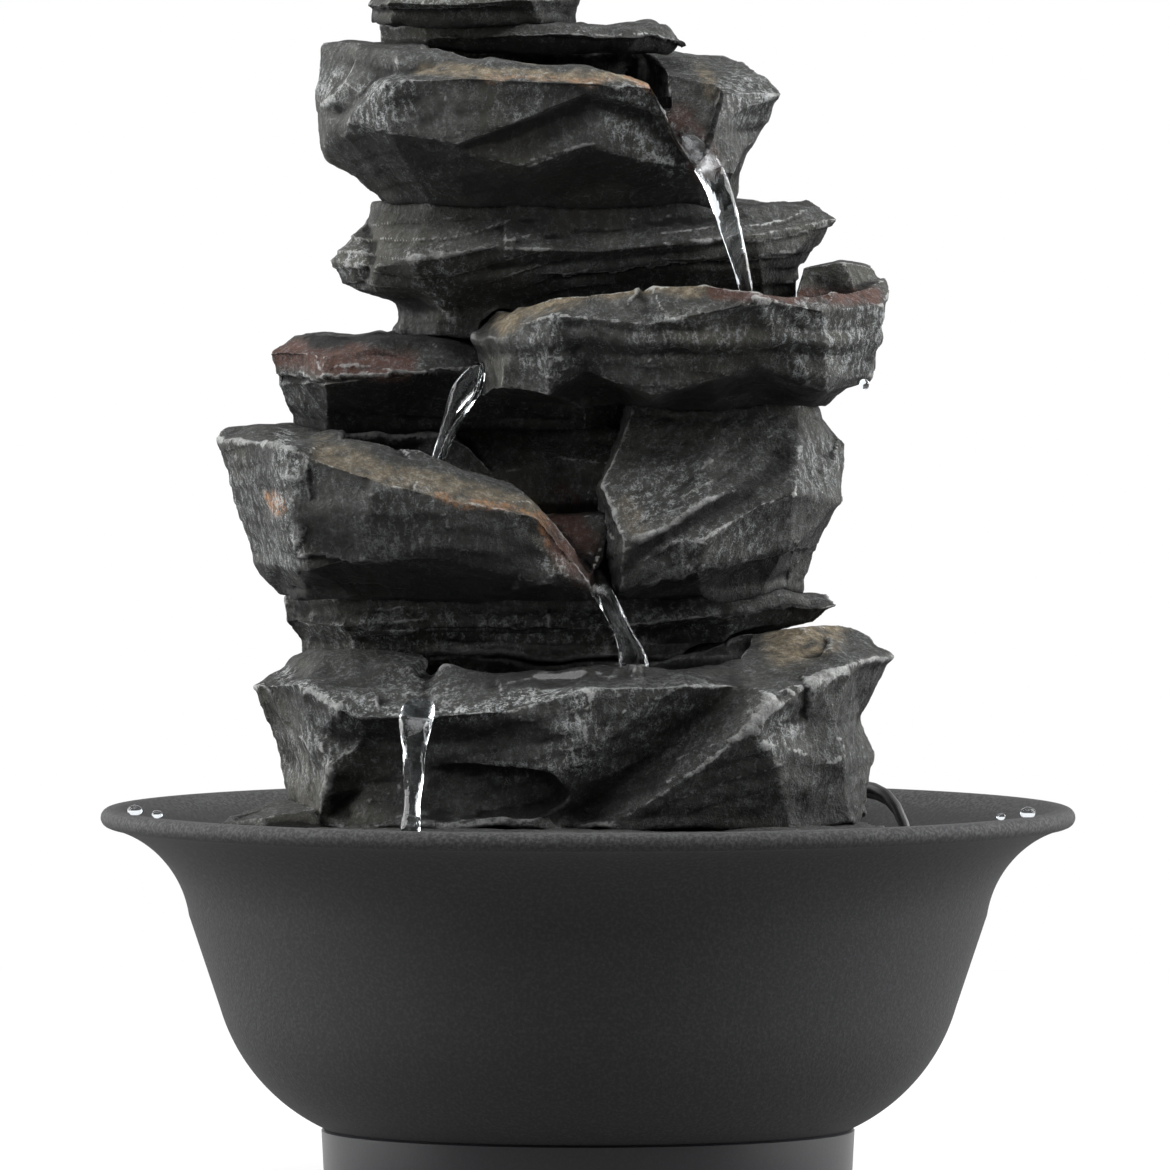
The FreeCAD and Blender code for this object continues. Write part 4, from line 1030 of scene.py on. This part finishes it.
class Profile:
    """A lathe profile in the XZ plane, in millimetres, drawn stretch by stretch."""

    def __init__(self, radius: float, level: float) -> None:
        """Starts at a point.

        Args:
            radius: distance from the axis.
            level: height.
        """
        self.shape = bmesh.new()
        self.tip = self.shape.verts.new((radius * MM, 0.0, level * MM))

    def line(self, radius: float, level: float) -> "Profile":
        """Draws a straight stretch."""
        made = bmesh.ops.extrude_vert_indiv(self.shape, verts=[self.tip])
        self.tip = made["verts"][0]
        self.tip.co = (radius * MM, 0.0, level * MM)
        return self

    def arc(self, middle: Spot, end: Spot, steps: int) -> "Profile":
        """Draws an arc through a middle point.

        Args:
            middle: a point on the arc.
            end: its end.
            steps: number of edges.

        Returns:
            The profile.
        """
        start = (self.tip.co.x / MM, self.tip.co.z / MM)
        (ax, az), (bx, bz), (cx, cz) = start, middle, end
        twice = 2.0 * (ax * (bz - cz) + bx * (cz - az) + cx * (az - bz))
        a, b, c = ax * ax + az * az, bx * bx + bz * bz, cx * cx + cz * cz
        ux = (a * (bz - cz) + b * (cz - az) + c * (az - bz)) / twice
        uz = (a * (cx - bx) + b * (ax - cx) + c * (bx - ax)) / twice
        first = math.atan2(az - uz, ax - ux)
        sweep = (math.atan2(cz - uz, cx - ux) - first) % (2.0 * math.pi)
        passing = (math.atan2(bz - uz, bx - ux) - first) % (2.0 * math.pi)
        if passing > sweep:
            sweep -= 2.0 * math.pi
        made = bmesh.ops.spin(self.shape, geom=[self.tip], cent=(ux * MM, 0.0, uz * MM), dvec=ORIGIN,
                              axis=(0.0, 1.0, 0.0), angle=-sweep, steps=steps, use_duplicate=False)
        self.tip = next(v for v in made["geom_last"] if isinstance(v, bmesh.types.BMVert))
        return self

    def lathe(self, segments: int) -> bmesh.types.BMesh:
        """Turns the profile round the Z axis.

        Args:
            segments: steps of the full turn.

        Returns:
            The closed shape.
        """
        shape = self.shape
        bmesh.ops.spin(shape, geom=shape.verts[:] + shape.edges[:], cent=ORIGIN, axis=(0.0, 0.0, 1.0),
                       dvec=ORIGIN, angle=2.0 * math.pi, steps=segments, use_merge=True,
                       use_duplicate=False)
        bmesh.ops.remove_doubles(shape, verts=shape.verts, dist=1e-6)
        bmesh.ops.recalc_face_normals(shape, faces=shape.faces)
        return shape


@dataclass
class BowlAndFoot:
    """The bowl, the ring under it and its pads. Sizes in millimetres."""

    rim: float = 105.0
    level: float = 83.0
    lip: float = 4.0
    foot: float = 57.5
    under: float = 14.0
    floor: float = 17.0
    belly: tuple[Spot, Spot] = ((71.3, 25.0), (79.3, 40.0))
    waist: Spot = (86.0, 60.0)
    throat: Spot = (90.8, 71.0)
    inner_throat: tuple[Spot, Spot] = ((88.0, 72.6), (83.2, 60.0))
    inner_waist: Spot = (76.5, 40.0)
    inner_belly: Spot = (69.2, 27.25)
    floor_radius: float = 54.5
    ring_bore: float = 47.5
    ring_bottom: float = 1.5
    segments: int = 192
    bowl_finish: GrainedPlastic = GrainedPlastic(
        "bowl_plastic", (0.030, 0.030, 0.031), (0.052, 0.052, 0.054), 0.70, 1400.0, 0.00022, 0.8, 0.10,
        0.0815)
    foot_finish: GrainedPlastic = GrainedPlastic(
        "foot_plastic", (0.012, 0.012, 0.014), (0.020, 0.020, 0.023), 0.34, 1600.0, 0.00008, 0.25, 0.25)
    pad_finish: GrainedPlastic = GrainedPlastic(
        "pad_rubber", (0.016, 0.016, 0.016), (0.035, 0.035, 0.035), 0.85, 1500.0, 0.0002, 0.4, 0.2)

    def build(self, bench: Bench) -> None:
        """Makes the bowl and the ring and dresses the pads."""
        outside = self.rim - self.lip / 2
        bowl = Profile(0.0, self.under).line(self.foot - 0.4, self.under).line(self.foot, self.under + 0.3)
        bowl.arc(*self.belly, 26).line(*self.waist)
        bowl.arc(self.throat, (outside, self.level - self.lip), 24)
        bowl.arc((self.rim, self.level - 0.55 * self.lip), (outside, self.level), 12)
        bowl.line(self.rim - self.lip, self.level)
        bowl.arc(*self.inner_throat, 24).line(*self.inner_waist)
        bowl.arc(self.inner_belly, (self.floor_radius, self.floor), 24).line(0.0, self.floor)
        mesh = bench.mesh("bowl_shell", bowl.lathe(self.segments), 50.0)
        bench.piece("bowl_shell", mesh, "bowl", self.bowl_finish.material(), ["bowl"])
        bore, bottom = self.ring_bore, self.ring_bottom
        ring = Profile(bore, bottom).line(bore, self.under)
        ring.line(self.foot - 0.5, self.under).line(self.foot, self.under - 0.5)
        ring.line(self.foot - 0.6, bottom + 1.0)
        ring.arc((self.foot - 0.95, bottom + 0.3), (self.foot - 1.6, bottom), 6).line(bore, bottom)
        mesh = bench.mesh("foot_band", ring.lathe(self.segments), 40.0)
        bench.piece("foot_band", mesh, "bowl", self.foot_finish.material(), ["foot_ring"])
        bench.smooth_node("foot_pads", self.pad_finish.material())


@dataclass
class PumpAndHose:
    """The pump in the bowl, its motor, the riser hose and the plug's hard parts."""

    black: GrainedPlastic = GrainedPlastic(
        "pump_plastic", (0.018, 0.018, 0.020), (0.034, 0.034, 0.036), 0.42, 1300.0, 0.0001, 0.35)
    pale: GrainedPlastic = GrainedPlastic(
        "impeller_plastic", (0.62, 0.62, 0.60), (0.74, 0.74, 0.71), 0.40, 900.0, 0.0001, 0.2)
    resin: GrainedPlastic = GrainedPlastic(
        "potting_resin", (0.022, 0.022, 0.024), (0.045, 0.045, 0.048), 0.30, 200.0, 0.0003, 0.3)
    rubber: GrainedPlastic = GrainedPlastic(
        "bush_rubber", (0.020, 0.020, 0.020), (0.040, 0.040, 0.040), 0.80, 1500.0, 0.0001, 0.3, 0.2)
    cup: GrainedPlastic = GrainedPlastic(
        "cup_rubber", (0.19, 0.19, 0.18), (0.29, 0.29, 0.27), 0.45, 700.0, 0.0001, 0.2)
    ceramic: GrainedPlastic = GrainedPlastic(
        "shaft_ceramic", (0.74, 0.74, 0.71), (0.82, 0.82, 0.80), 0.25, 2000.0, 0.00005, 0.1)
    ferrite: GrainedPlastic = GrainedPlastic(
        "magnet_ferrite", (0.050, 0.050, 0.054), (0.095, 0.095, 0.100), 0.55, 1800.0, 0.0001, 0.4)
    steel: WoundMetal = WoundMetal(
        "core_steel", (0.46, 0.46, 0.47), (0.30, 0.29, 0.28), (2500.0, 2500.0, 40.0))
    copper: WoundMetal = WoundMetal("copper_winding", (0.62, 0.27, 0.13), (0.40, 0.17, 0.09))
    brass: WoundMetal = WoundMetal(
        "blade_brass", (0.74, 0.58, 0.30), (0.60, 0.46, 0.25), (2500.0, 40.0, 2500.0))

    def build(self, bench: Bench) -> None:
        """Dresses the nodes, with smooth copies of those that are round."""
        black = self.black.material()
        for node in ("pump_body", "pump_chamber", "intake_cover", "flow_dial", "hose_outlet"):
            bench.smooth_node(node, black)
        skins = {"hose": ClearVinyl(), "suction_cups": self.cup, "rotor_magnet": self.ferrite,
                 "impeller": self.pale, "impeller_shaft": self.ceramic, "shaft_bushes": self.rubber,
                 "potting": self.resin}
        for node, finish in skins.items():
            bench.smooth_node(node, finish.material())
        metals = {"stator_core": self.steel, "motor_coil": self.copper, "plug_blades": self.brass}
        for node, metal in metals.items():
            data = frame["nodes"][node].data
            data.materials.clear()
            data.materials.append(metal.material())


@dataclass
class Lead:
    """The twin lead, its plug, gland and tie. Sizes in millimetres, but the length in metres."""

    width: float = 4.4
    strand: float = 2.3
    centre: Spot = (8.0, 100.0)
    radius: float = 33.0
    pitch: float = 5.1
    layer: float = 5.0
    level: float = 3.1
    turns: int = 7
    per_turn: int = 20
    length: float = 1.44
    sheath: GrainedPlastic = GrainedPlastic(
        "cord_sheath", (0.014, 0.014, 0.015), (0.030, 0.030, 0.032), 0.42, 1500.0, 0.00008, 0.25)
    strap: GrainedPlastic = GrainedPlastic(
        "tie_plastic", (0.018, 0.018, 0.018), (0.030, 0.030, 0.030), 0.5, 1200.0, 0.0001, 0.3)

    def coil_point(self, turn: float) -> Place:
        """A point of the coil: in, one layer up, and out again."""
        half = self.turns / 2
        away = abs(turn - half)
        wound = 2.0 * away ** 2 if away < 0.25 else away - 0.125
        reach = self.radius - self.pitch * (half - 0.125) + self.pitch * wound
        share = min(1.0, max(0.0, (turn - half + 0.25) / 0.5))
        rise = share * share * (3.0 - 2.0 * share)
        angle = math.pi / 2 + 2.0 * math.pi * turn
        return (self.centre[0] + reach * math.cos(angle), self.centre[1] + reach * math.sin(angle),
                self.level + self.layer * rise)

    def route(self) -> list[Place]:
        """Points of the whole lead, from the pump to the plug."""
        points: list[Place] = [
            (36.0, 14.0, 37.0), (70.5, 14.0, 37.0), (70.4, 13.0, 84.0), (54.0, 35.5, 86.5),
            (51.0, 52.0, 82.5), (48.5, 74.5, 85.7), (47.0, 104.5, 85.7), (47.0, 103.5, 47.0),
            (46.0, 101.5, self.level), (44.0, 133.0, self.level), (12.4, 133.0, self.level)]
        count = self.turns * self.per_turn
        points += [self.coil_point(i / self.per_turn) for i in range(count + 1)]
        upper = self.level + self.layer
        points += [(3.6, 133.0, upper), (-16.0, 133.0, upper), (-46.0, 133.0, 6.5), (-46.0, 103.0, 6.5)]
        return points

    def profile(self) -> bpy.types.Object:
        """The flex's section: two round strands side by side with a web between."""
        data = bpy.data.curves.new("flex_section", "CURVE")
        data.dimensions = "2D"
        spline = data.splines.new("POLY")
        half, offset = self.strand / 2, (self.width - self.strand) / 2
        corners = []
        for side in (1.0, -1.0):
            for i in range(9):
                angle = math.radians(-140.0 + 35.0 * i)
                corners.append((side * (offset + half * math.cos(angle)), side * half * math.sin(angle)))
        spline.points.add(len(corners) - 1)
        for point, (x, y) in zip(spline.points, corners):
            point.co = (x * MM, y * MM, 0.0, 1.0)
        spline.use_cyclic_u = True
        made = bpy.data.objects.new("flex_section", data)
        bpy.context.collection.objects.link(made)
        made.hide_render = True
        made.hide_viewport = True
        return made

    def flex(self) -> bpy.types.Curve:
        """The lead as one smooth curve with the twin section."""
        data = bpy.data.curves.new("lead_flex", "CURVE")
        data.dimensions = "3D"
        spline = data.splines.new("NURBS")
        route = self.route()
        spline.points.add(len(route) - 1)
        for point, place in zip(spline.points, route):
            point.co = (*(v * MM for v in place), 1.0)
        spline.order_u = 3
        spline.use_endpoint_u = True
        spline.resolution_u = 6
        data.twist_mode = "MINIMUM"
        data.bevel_mode = "OBJECT"
        data.bevel_object = self.profile()
        data.use_fill_caps = True
        return data

    def build(self, bench: Bench) -> None:
        """Makes the lead and dresses what is on it."""
        sheath = self.sheath.material()
        flex = bench.piece("lead_flex", self.flex(), "bowl", sheath,
                           ["cord_lead", "cord_coil", "cord_tail"])
        plug = bench.smooth_node("plug_body", sheath)
        bench.smooth_node("cord_gland", sheath)
        tie = bench.smooth_node("cord_tie", self.strap.material())
        self.width * MM


@dataclass
class Water:
    """Falling streams, pools and drops. Sizes in millimetres.

    Each row of a stream is one cross-section: its place, width, depth and turn in degrees. Each pool has
    its outline in plan, its floor and its level.
    """

    sides: int = 14
    streams: dict[str, tuple[Row, ...]] = field(default_factory=lambda: {
        "water_top_fall": (
            (20, -22, 228.5, 4.6, 1.2, 20), (24.3, -29.5, 223.8, 6.6, 1.8, 10),
            (27, -32.5, 219.5, 6.6, 2.6, -25), (28.7, -33.2, 214.5, 5.8, 2.8, -5),
            (30.6, -33.5, 208, 5, 2.8, 25), (32.6, -33.4, 201, 4.4, 2.8, 50),
            (34.2, -33, 194, 3.8, 2.8, 70), (34.6, -32.8, 189.5, 4.4, 3.2, 80)),
        "water_left_film": (
            (-23, -22.6, 179.5, 2, 1, 0), (-24.6, -23.2, 176.6, 4.6, 1.6, -20),
            (-27, -23.2, 173.6, 5.6, 2, 15), (-29.4, -23, 169.4, 3.2, 2.2, 60),
            (-31, -22.8, 164.6, 3, 1.8, 110), (-32.8, -22.6, 158, 2.4, 1.8, 150),
            (-34, -22.5, 150.2, 3.2, 2.4, 180)),
        "water_left_strand": (
            (-22.6, -22, 180, 1.6, 0.8, 0), (-22.9, -23.6, 174.5, 1.8, 1.4, 30),
            (-25.4, -23.8, 170.6, 2.6, 1.2, 70), (-28.6, -23.4, 166, 1.8, 1.6, 110),
            (-30.8, -23, 161, 2, 1.4, 150), (-33, -22.8, 154, 1.8, 1.8, 180)),
        "water_mid_fall": (
            (-3, -24, 138.5, 5, 1.2, 0), (0.2, -32.5, 134.4, 6.4, 1.8, 0),
            (2.8, -36, 131.4, 5.4, 2.4, -20), (5.4, -36.6, 127, 4.2, 2.6, 20),
            (7.8, -36.4, 122, 5, 2.6, 50), (9.6, -35.6, 117.4, 6.6, 2.8, 20),
            (10.2, -35, 113, 7.4, 3.4, 0)),
        "water_low_fall": (
            (-35.6, -45, 108.8, 6, 1, 0), (-36.2, -50, 106.6, 7.6, 1.8, 0),
            (-36.6, -53.8, 104.8, 8, 2.4, 0), (-36.9, -55.8, 101.6, 6.6, 2.6, 10),
            (-37, -56.4, 97.6, 5.4, 2.6, -35), (-37.1, -56.6, 93, 5.4, 2.6, 15),
            (-37.4, -56.8, 88, 5, 2.6, 60), (-37.8, -57, 82, 4.6, 2.8, 20),
            (-37.9, -57, 79.5, 4.8, 3, 10)),
    })
    pools: dict[str, tuple[tuple[Spot, ...], float, float]] = field(default_factory=lambda: {
        "water_top_pool": (
            ((-37, -18.5), (-26.5, -27), (-10, -29), (2.5, -28), (11.5, -23), (18, -12), (17, 2), (9.5, 24),
             (-13.5, 24), (-35, -2)), 233.4, 236.4),
        "water_right_pool": (
            ((-15, -21.5), (-4.5, -29), (12, -34), (26, -37), (38.5, -36), (47, -27.5), (49, -10), (48, 2),
             (-16, 2), (-18.5, -8)), 183.9, 190.4),
        "water_left_pool": (
            ((-55, -25.5), (-40.5, -32), (-28, -32), (-17, -30), (-10, -18), (-3, -11), (6, -4), (-53, -4)),
            146.4, 151.0),
        "water_base_pool": (
            ((-35, -29.5), (-18, -36), (0, -38), (21, -36), (34, -30), (36, -11), (-37, -11)),
            106.4, 112.8),
    })
    drops: tuple[tuple[Place, float], ...] = (
        ((59.0, -34.0, 175.4), 1.1), ((-97.0, -30.0, 84.0), 1.6), ((-92.0, -44.0, 83.9), 1.2),
        ((94.0, -38.0, 83.9), 1.7), ((88.0, -52.0, 83.8), 1.0))
    fall_finish: ClearWater = ClearWater("falling_water", 260.0, 0.0012, 0.45)
    pool_finish: ClearWater = ClearWater("pool_water", 120.0, 0.0008, 0.35)

    def fall(self, rows: Sequence[Row]) -> bmesh.types.BMesh:
        """A stream through its cross-sections.

        Args:
            rows: the sections, top to bottom.

        Returns:
            The closed stream.
        """
        shape = bmesh.new()
        loops = []
        places = [Vector(row[:3]) for row in rows]
        for i, (*_, wide, deep, turn) in enumerate(rows):
            along = (places[min(i + 1, len(rows) - 1)] - places[max(i - 1, 0)]).normalized()
            across = Vector((1.0, 0.0, 0.0))
            across = (across - along * across.dot(along)).normalized()
            inward = along.cross(across)
            angle = math.radians(turn)
            wide_axis = across * math.cos(angle) + inward * math.sin(angle)
            deep_axis = inward * math.cos(angle) - across * math.sin(angle)
            axes = (wide_axis * wide / 2 * MM, deep_axis * deep / 2 * MM, along * MM)
            placed = Matrix(axes).transposed().to_4x4()
            placed.translation = places[i] * MM
            made = bmesh.ops.create_circle(shape, segments=self.sides, radius=1.0, matrix=placed)
            loops.append({edge for vert in made["verts"] for edge in vert.link_edges})
        for upper, lower in zip(loops, loops[1:]):
            bmesh.ops.bridge_loops(shape, edges=list(upper | lower))
        bmesh.ops.holes_fill(shape, edges=shape.edges)
        bmesh.ops.recalc_face_normals(shape, faces=shape.faces)
        return shape

    def pool(self, outline: Sequence[Spot], floor: float, level: float) -> bmesh.types.BMesh:
        """Still water over an outline.

        Args:
            outline: corners in plan.
            floor: level of its bottom.
            level: level of its surface.

        Returns:
            The closed block of water.
        """
        shape = bmesh.new()
        corners = [shape.verts.new((x * MM, y * MM, floor * MM)) for x, y in outline]
        face = shape.faces.new(corners)
        made = bmesh.ops.extrude_face_region(shape, geom=[face])
        top = [item for item in made["geom"] if isinstance(item, bmesh.types.BMVert)]
        bmesh.ops.translate(shape, verts=top, vec=(0.0, 0.0, (level - floor) * MM))
        bmesh.ops.recalc_face_normals(shape, faces=shape.faces)
        return shape

    def build(self, bench: Bench) -> None:
        """Makes all the water."""
        falling, still = self.fall_finish.material(), self.pool_finish.material()
        for name, rows in self.streams.items():
            made = bench.piece(name, bench.mesh(name, self.fall(rows), 80.0), "tower", falling)
            rounded = made.modifiers.new("rounded", "SUBSURF")
            rounded.levels = rounded.render_levels = 2
        for name, (outline, floor, level) in self.pools.items():
            bench.piece(name, bench.mesh(name, self.pool(outline, floor, level), 30.0), "tower", still)
        for i, (place, radius) in enumerate(self.drops):
            shape = bmesh.new()
            made = bmesh.ops.create_icosphere(shape, subdivisions=3, radius=radius * MM)
            bmesh.ops.scale(shape, vec=(1.0, 1.0, 0.75 if i else 1.2), verts=made["verts"])
            bmesh.ops.translate(shape, vec=Vector(place) * MM, verts=made["verts"])
            name = f"water_drop_{i}"
            bench.piece(name, bench.mesh(name, shape, 80.0), "bowl" if i else "tower", falling)


@dataclass
class Studio:
    """Camera, floor, lamps and surround."""

    eye: Place = (-0.00065, -4.5, 0.3213)
    target: Place = (-0.00065, 0.0, 0.1310)
    lens: float = 643.5
    floor_half: float = 30.0
    floor_lit: float = 0.22
    floor_seen: float = 0.90
    floor_glow: float = 0.85
    shine: tuple[float, float] = (0.12, 0.88)
    fill: tuple[float, float] = (0.03, 0.22)
    lamps: tuple[tuple[str, Place, Place, float, float], ...] = (
        ("lamp_left", (-1.6, 0.25, 0.7), (0.0, 0.0, 0.15), 1.9, 84.0),
        ("lamp_right", (1.6, 0.25, 0.7), (0.0, 0.0, 0.15), 1.9, 84.0),
        ("lamp_top", (0.0, -0.7, 1.75), (0.0, 0.0, 0.15), 1.6, 31.0),
        ("lamp_front", (-0.7, -2.6, 1.5), (0.0, 0.0, 0.15), 1.6, 5.0),
    )

    def camera(self) -> None:
        """Places the camera at the photograph's angle."""
        data = bpy.data.cameras.new("camera")
        data.lens = self.lens
        data.sensor_width = 36.0
        data.clip_end = 100.0
        made = bpy.data.objects.new("camera", data)
        made.location = self.eye
        made.rotation_euler = (Vector(self.target) - Vector(self.eye)).to_track_quat("-Z", "Y").to_euler()
        bpy.context.collection.objects.link(made)
        bpy.context.scene.camera = made

    def background_rays(self, shade: Shade) -> Wire:
        """1 for rays that show the background."""
        paths = shade.node("ShaderNodeLightPath").socket.node.outputs
        rays = Wire(shade, paths["Is Camera Ray"]).maximum(Wire(shade, paths["Is Glossy Ray"]))
        return rays.maximum(Wire(shade, paths["Is Transmission Ray"]))

    def floor(self) -> None:
        """Lays a plain pale floor."""
        shape = bmesh.new()
        bmesh.ops.create_grid(shape, x_segments=8, y_segments=8, size=self.floor_half)
        mesh = bpy.data.meshes.new("floor")
        shape.to_mesh(mesh)
        shape.free()
        made = bpy.data.objects.new("floor", mesh)
        bpy.context.collection.objects.link(made)
        shade = Shade("pale_floor")
        seen = self.background_rays(shade)
        tone = shade.blend(seen, (self.floor_lit,) * 3, (self.floor_seen,) * 3)
        lit = shade.node("ShaderNodeBsdfDiffuse", {}, {"Color": tone})
        glow = shade.node("ShaderNodeEmission", {}, {"Color": (1.0, 1.0, 1.0), "Strength": 1.0})
        away = shade.node("ShaderNodeVectorMath", {"operation": "LENGTH"}, {0: shade.place()},
                          output="Value")
        share = seen * (self.floor_glow + away.step(0.25, 0.8) * (1.0 - self.floor_glow))
        surface = shade.node("ShaderNodeMixShader", {}, {0: share, 1: lit, 2: glow})
        shade.close("ShaderNodeOutputMaterial", surface)
        mesh.materials.append(shade.material)

    def surround(self) -> None:
        """Sets the world: white to look at, softer as light."""
        world = bpy.data.worlds.new("surround")
        world.use_nodes = True
        bpy.context.scene.world = world
        shade = Shade("surround_tree")
        bpy.data.materials.remove(shade.material)
        shade.tree = world.node_tree
        shade.tree.nodes.clear()
        aim = shade.node("ShaderNodeTexCoord", output="Generated")
        back = shade.node("ShaderNodeSeparateXYZ", {}, {0: aim}, output=1).step(-0.5, 0.4)
        paths = shade.node("ShaderNodeLightPath").socket.node.outputs
        seen = Wire(shade, paths["Is Camera Ray"])
        shiny = Wire(shade, paths["Is Glossy Ray"]).maximum(Wire(shade, paths["Is Transmission Ray"]))
        mirrored = self.shine[0] + back * self.shine[1]
        scattered = self.fill[0] + back * self.fill[1]
        strength = seen + (1.0 - seen) * (shiny * mirrored + (1.0 - shiny) * scattered)
        light = shade.node("ShaderNodeBackground", {}, {"Color": (1.0, 1.0, 1.0), "Strength": strength})
        shade.close("ShaderNodeOutputWorld", light)

    def light(self) -> None:
        """Hangs the soft lamps."""
        for name, place, aim, size, power in self.lamps:
            data = bpy.data.lights.new(name, "AREA")
            data.size = size
            data.energy = power
            made = bpy.data.objects.new(name, data)
            made.location = place
            made.rotation_euler = (Vector(aim) - Vector(place)).to_track_quat("-Z", "Y").to_euler()
            bpy.context.collection.objects.link(made)

    def build(self) -> None:
        """Sets the camera, floor, surround and lamps."""
        self.camera()
        self.floor()
        self.surround()
        self.light()
        bpy.context.scene.view_settings.view_transform = "Standard"


def main() -> None:
    """Builds the fountain piece by piece."""
    logging.basicConfig(level=logging.INFO, format="%(message)s")
    bench = Bench(frame["record"])
    Studio().build()
    Lead().build(bench)
    BowlAndFoot().build(bench)
    PumpAndHose().build(bench)
    RockTower().build(bench)
    Water().build(bench)


if __name__ == "__main__":
    main()
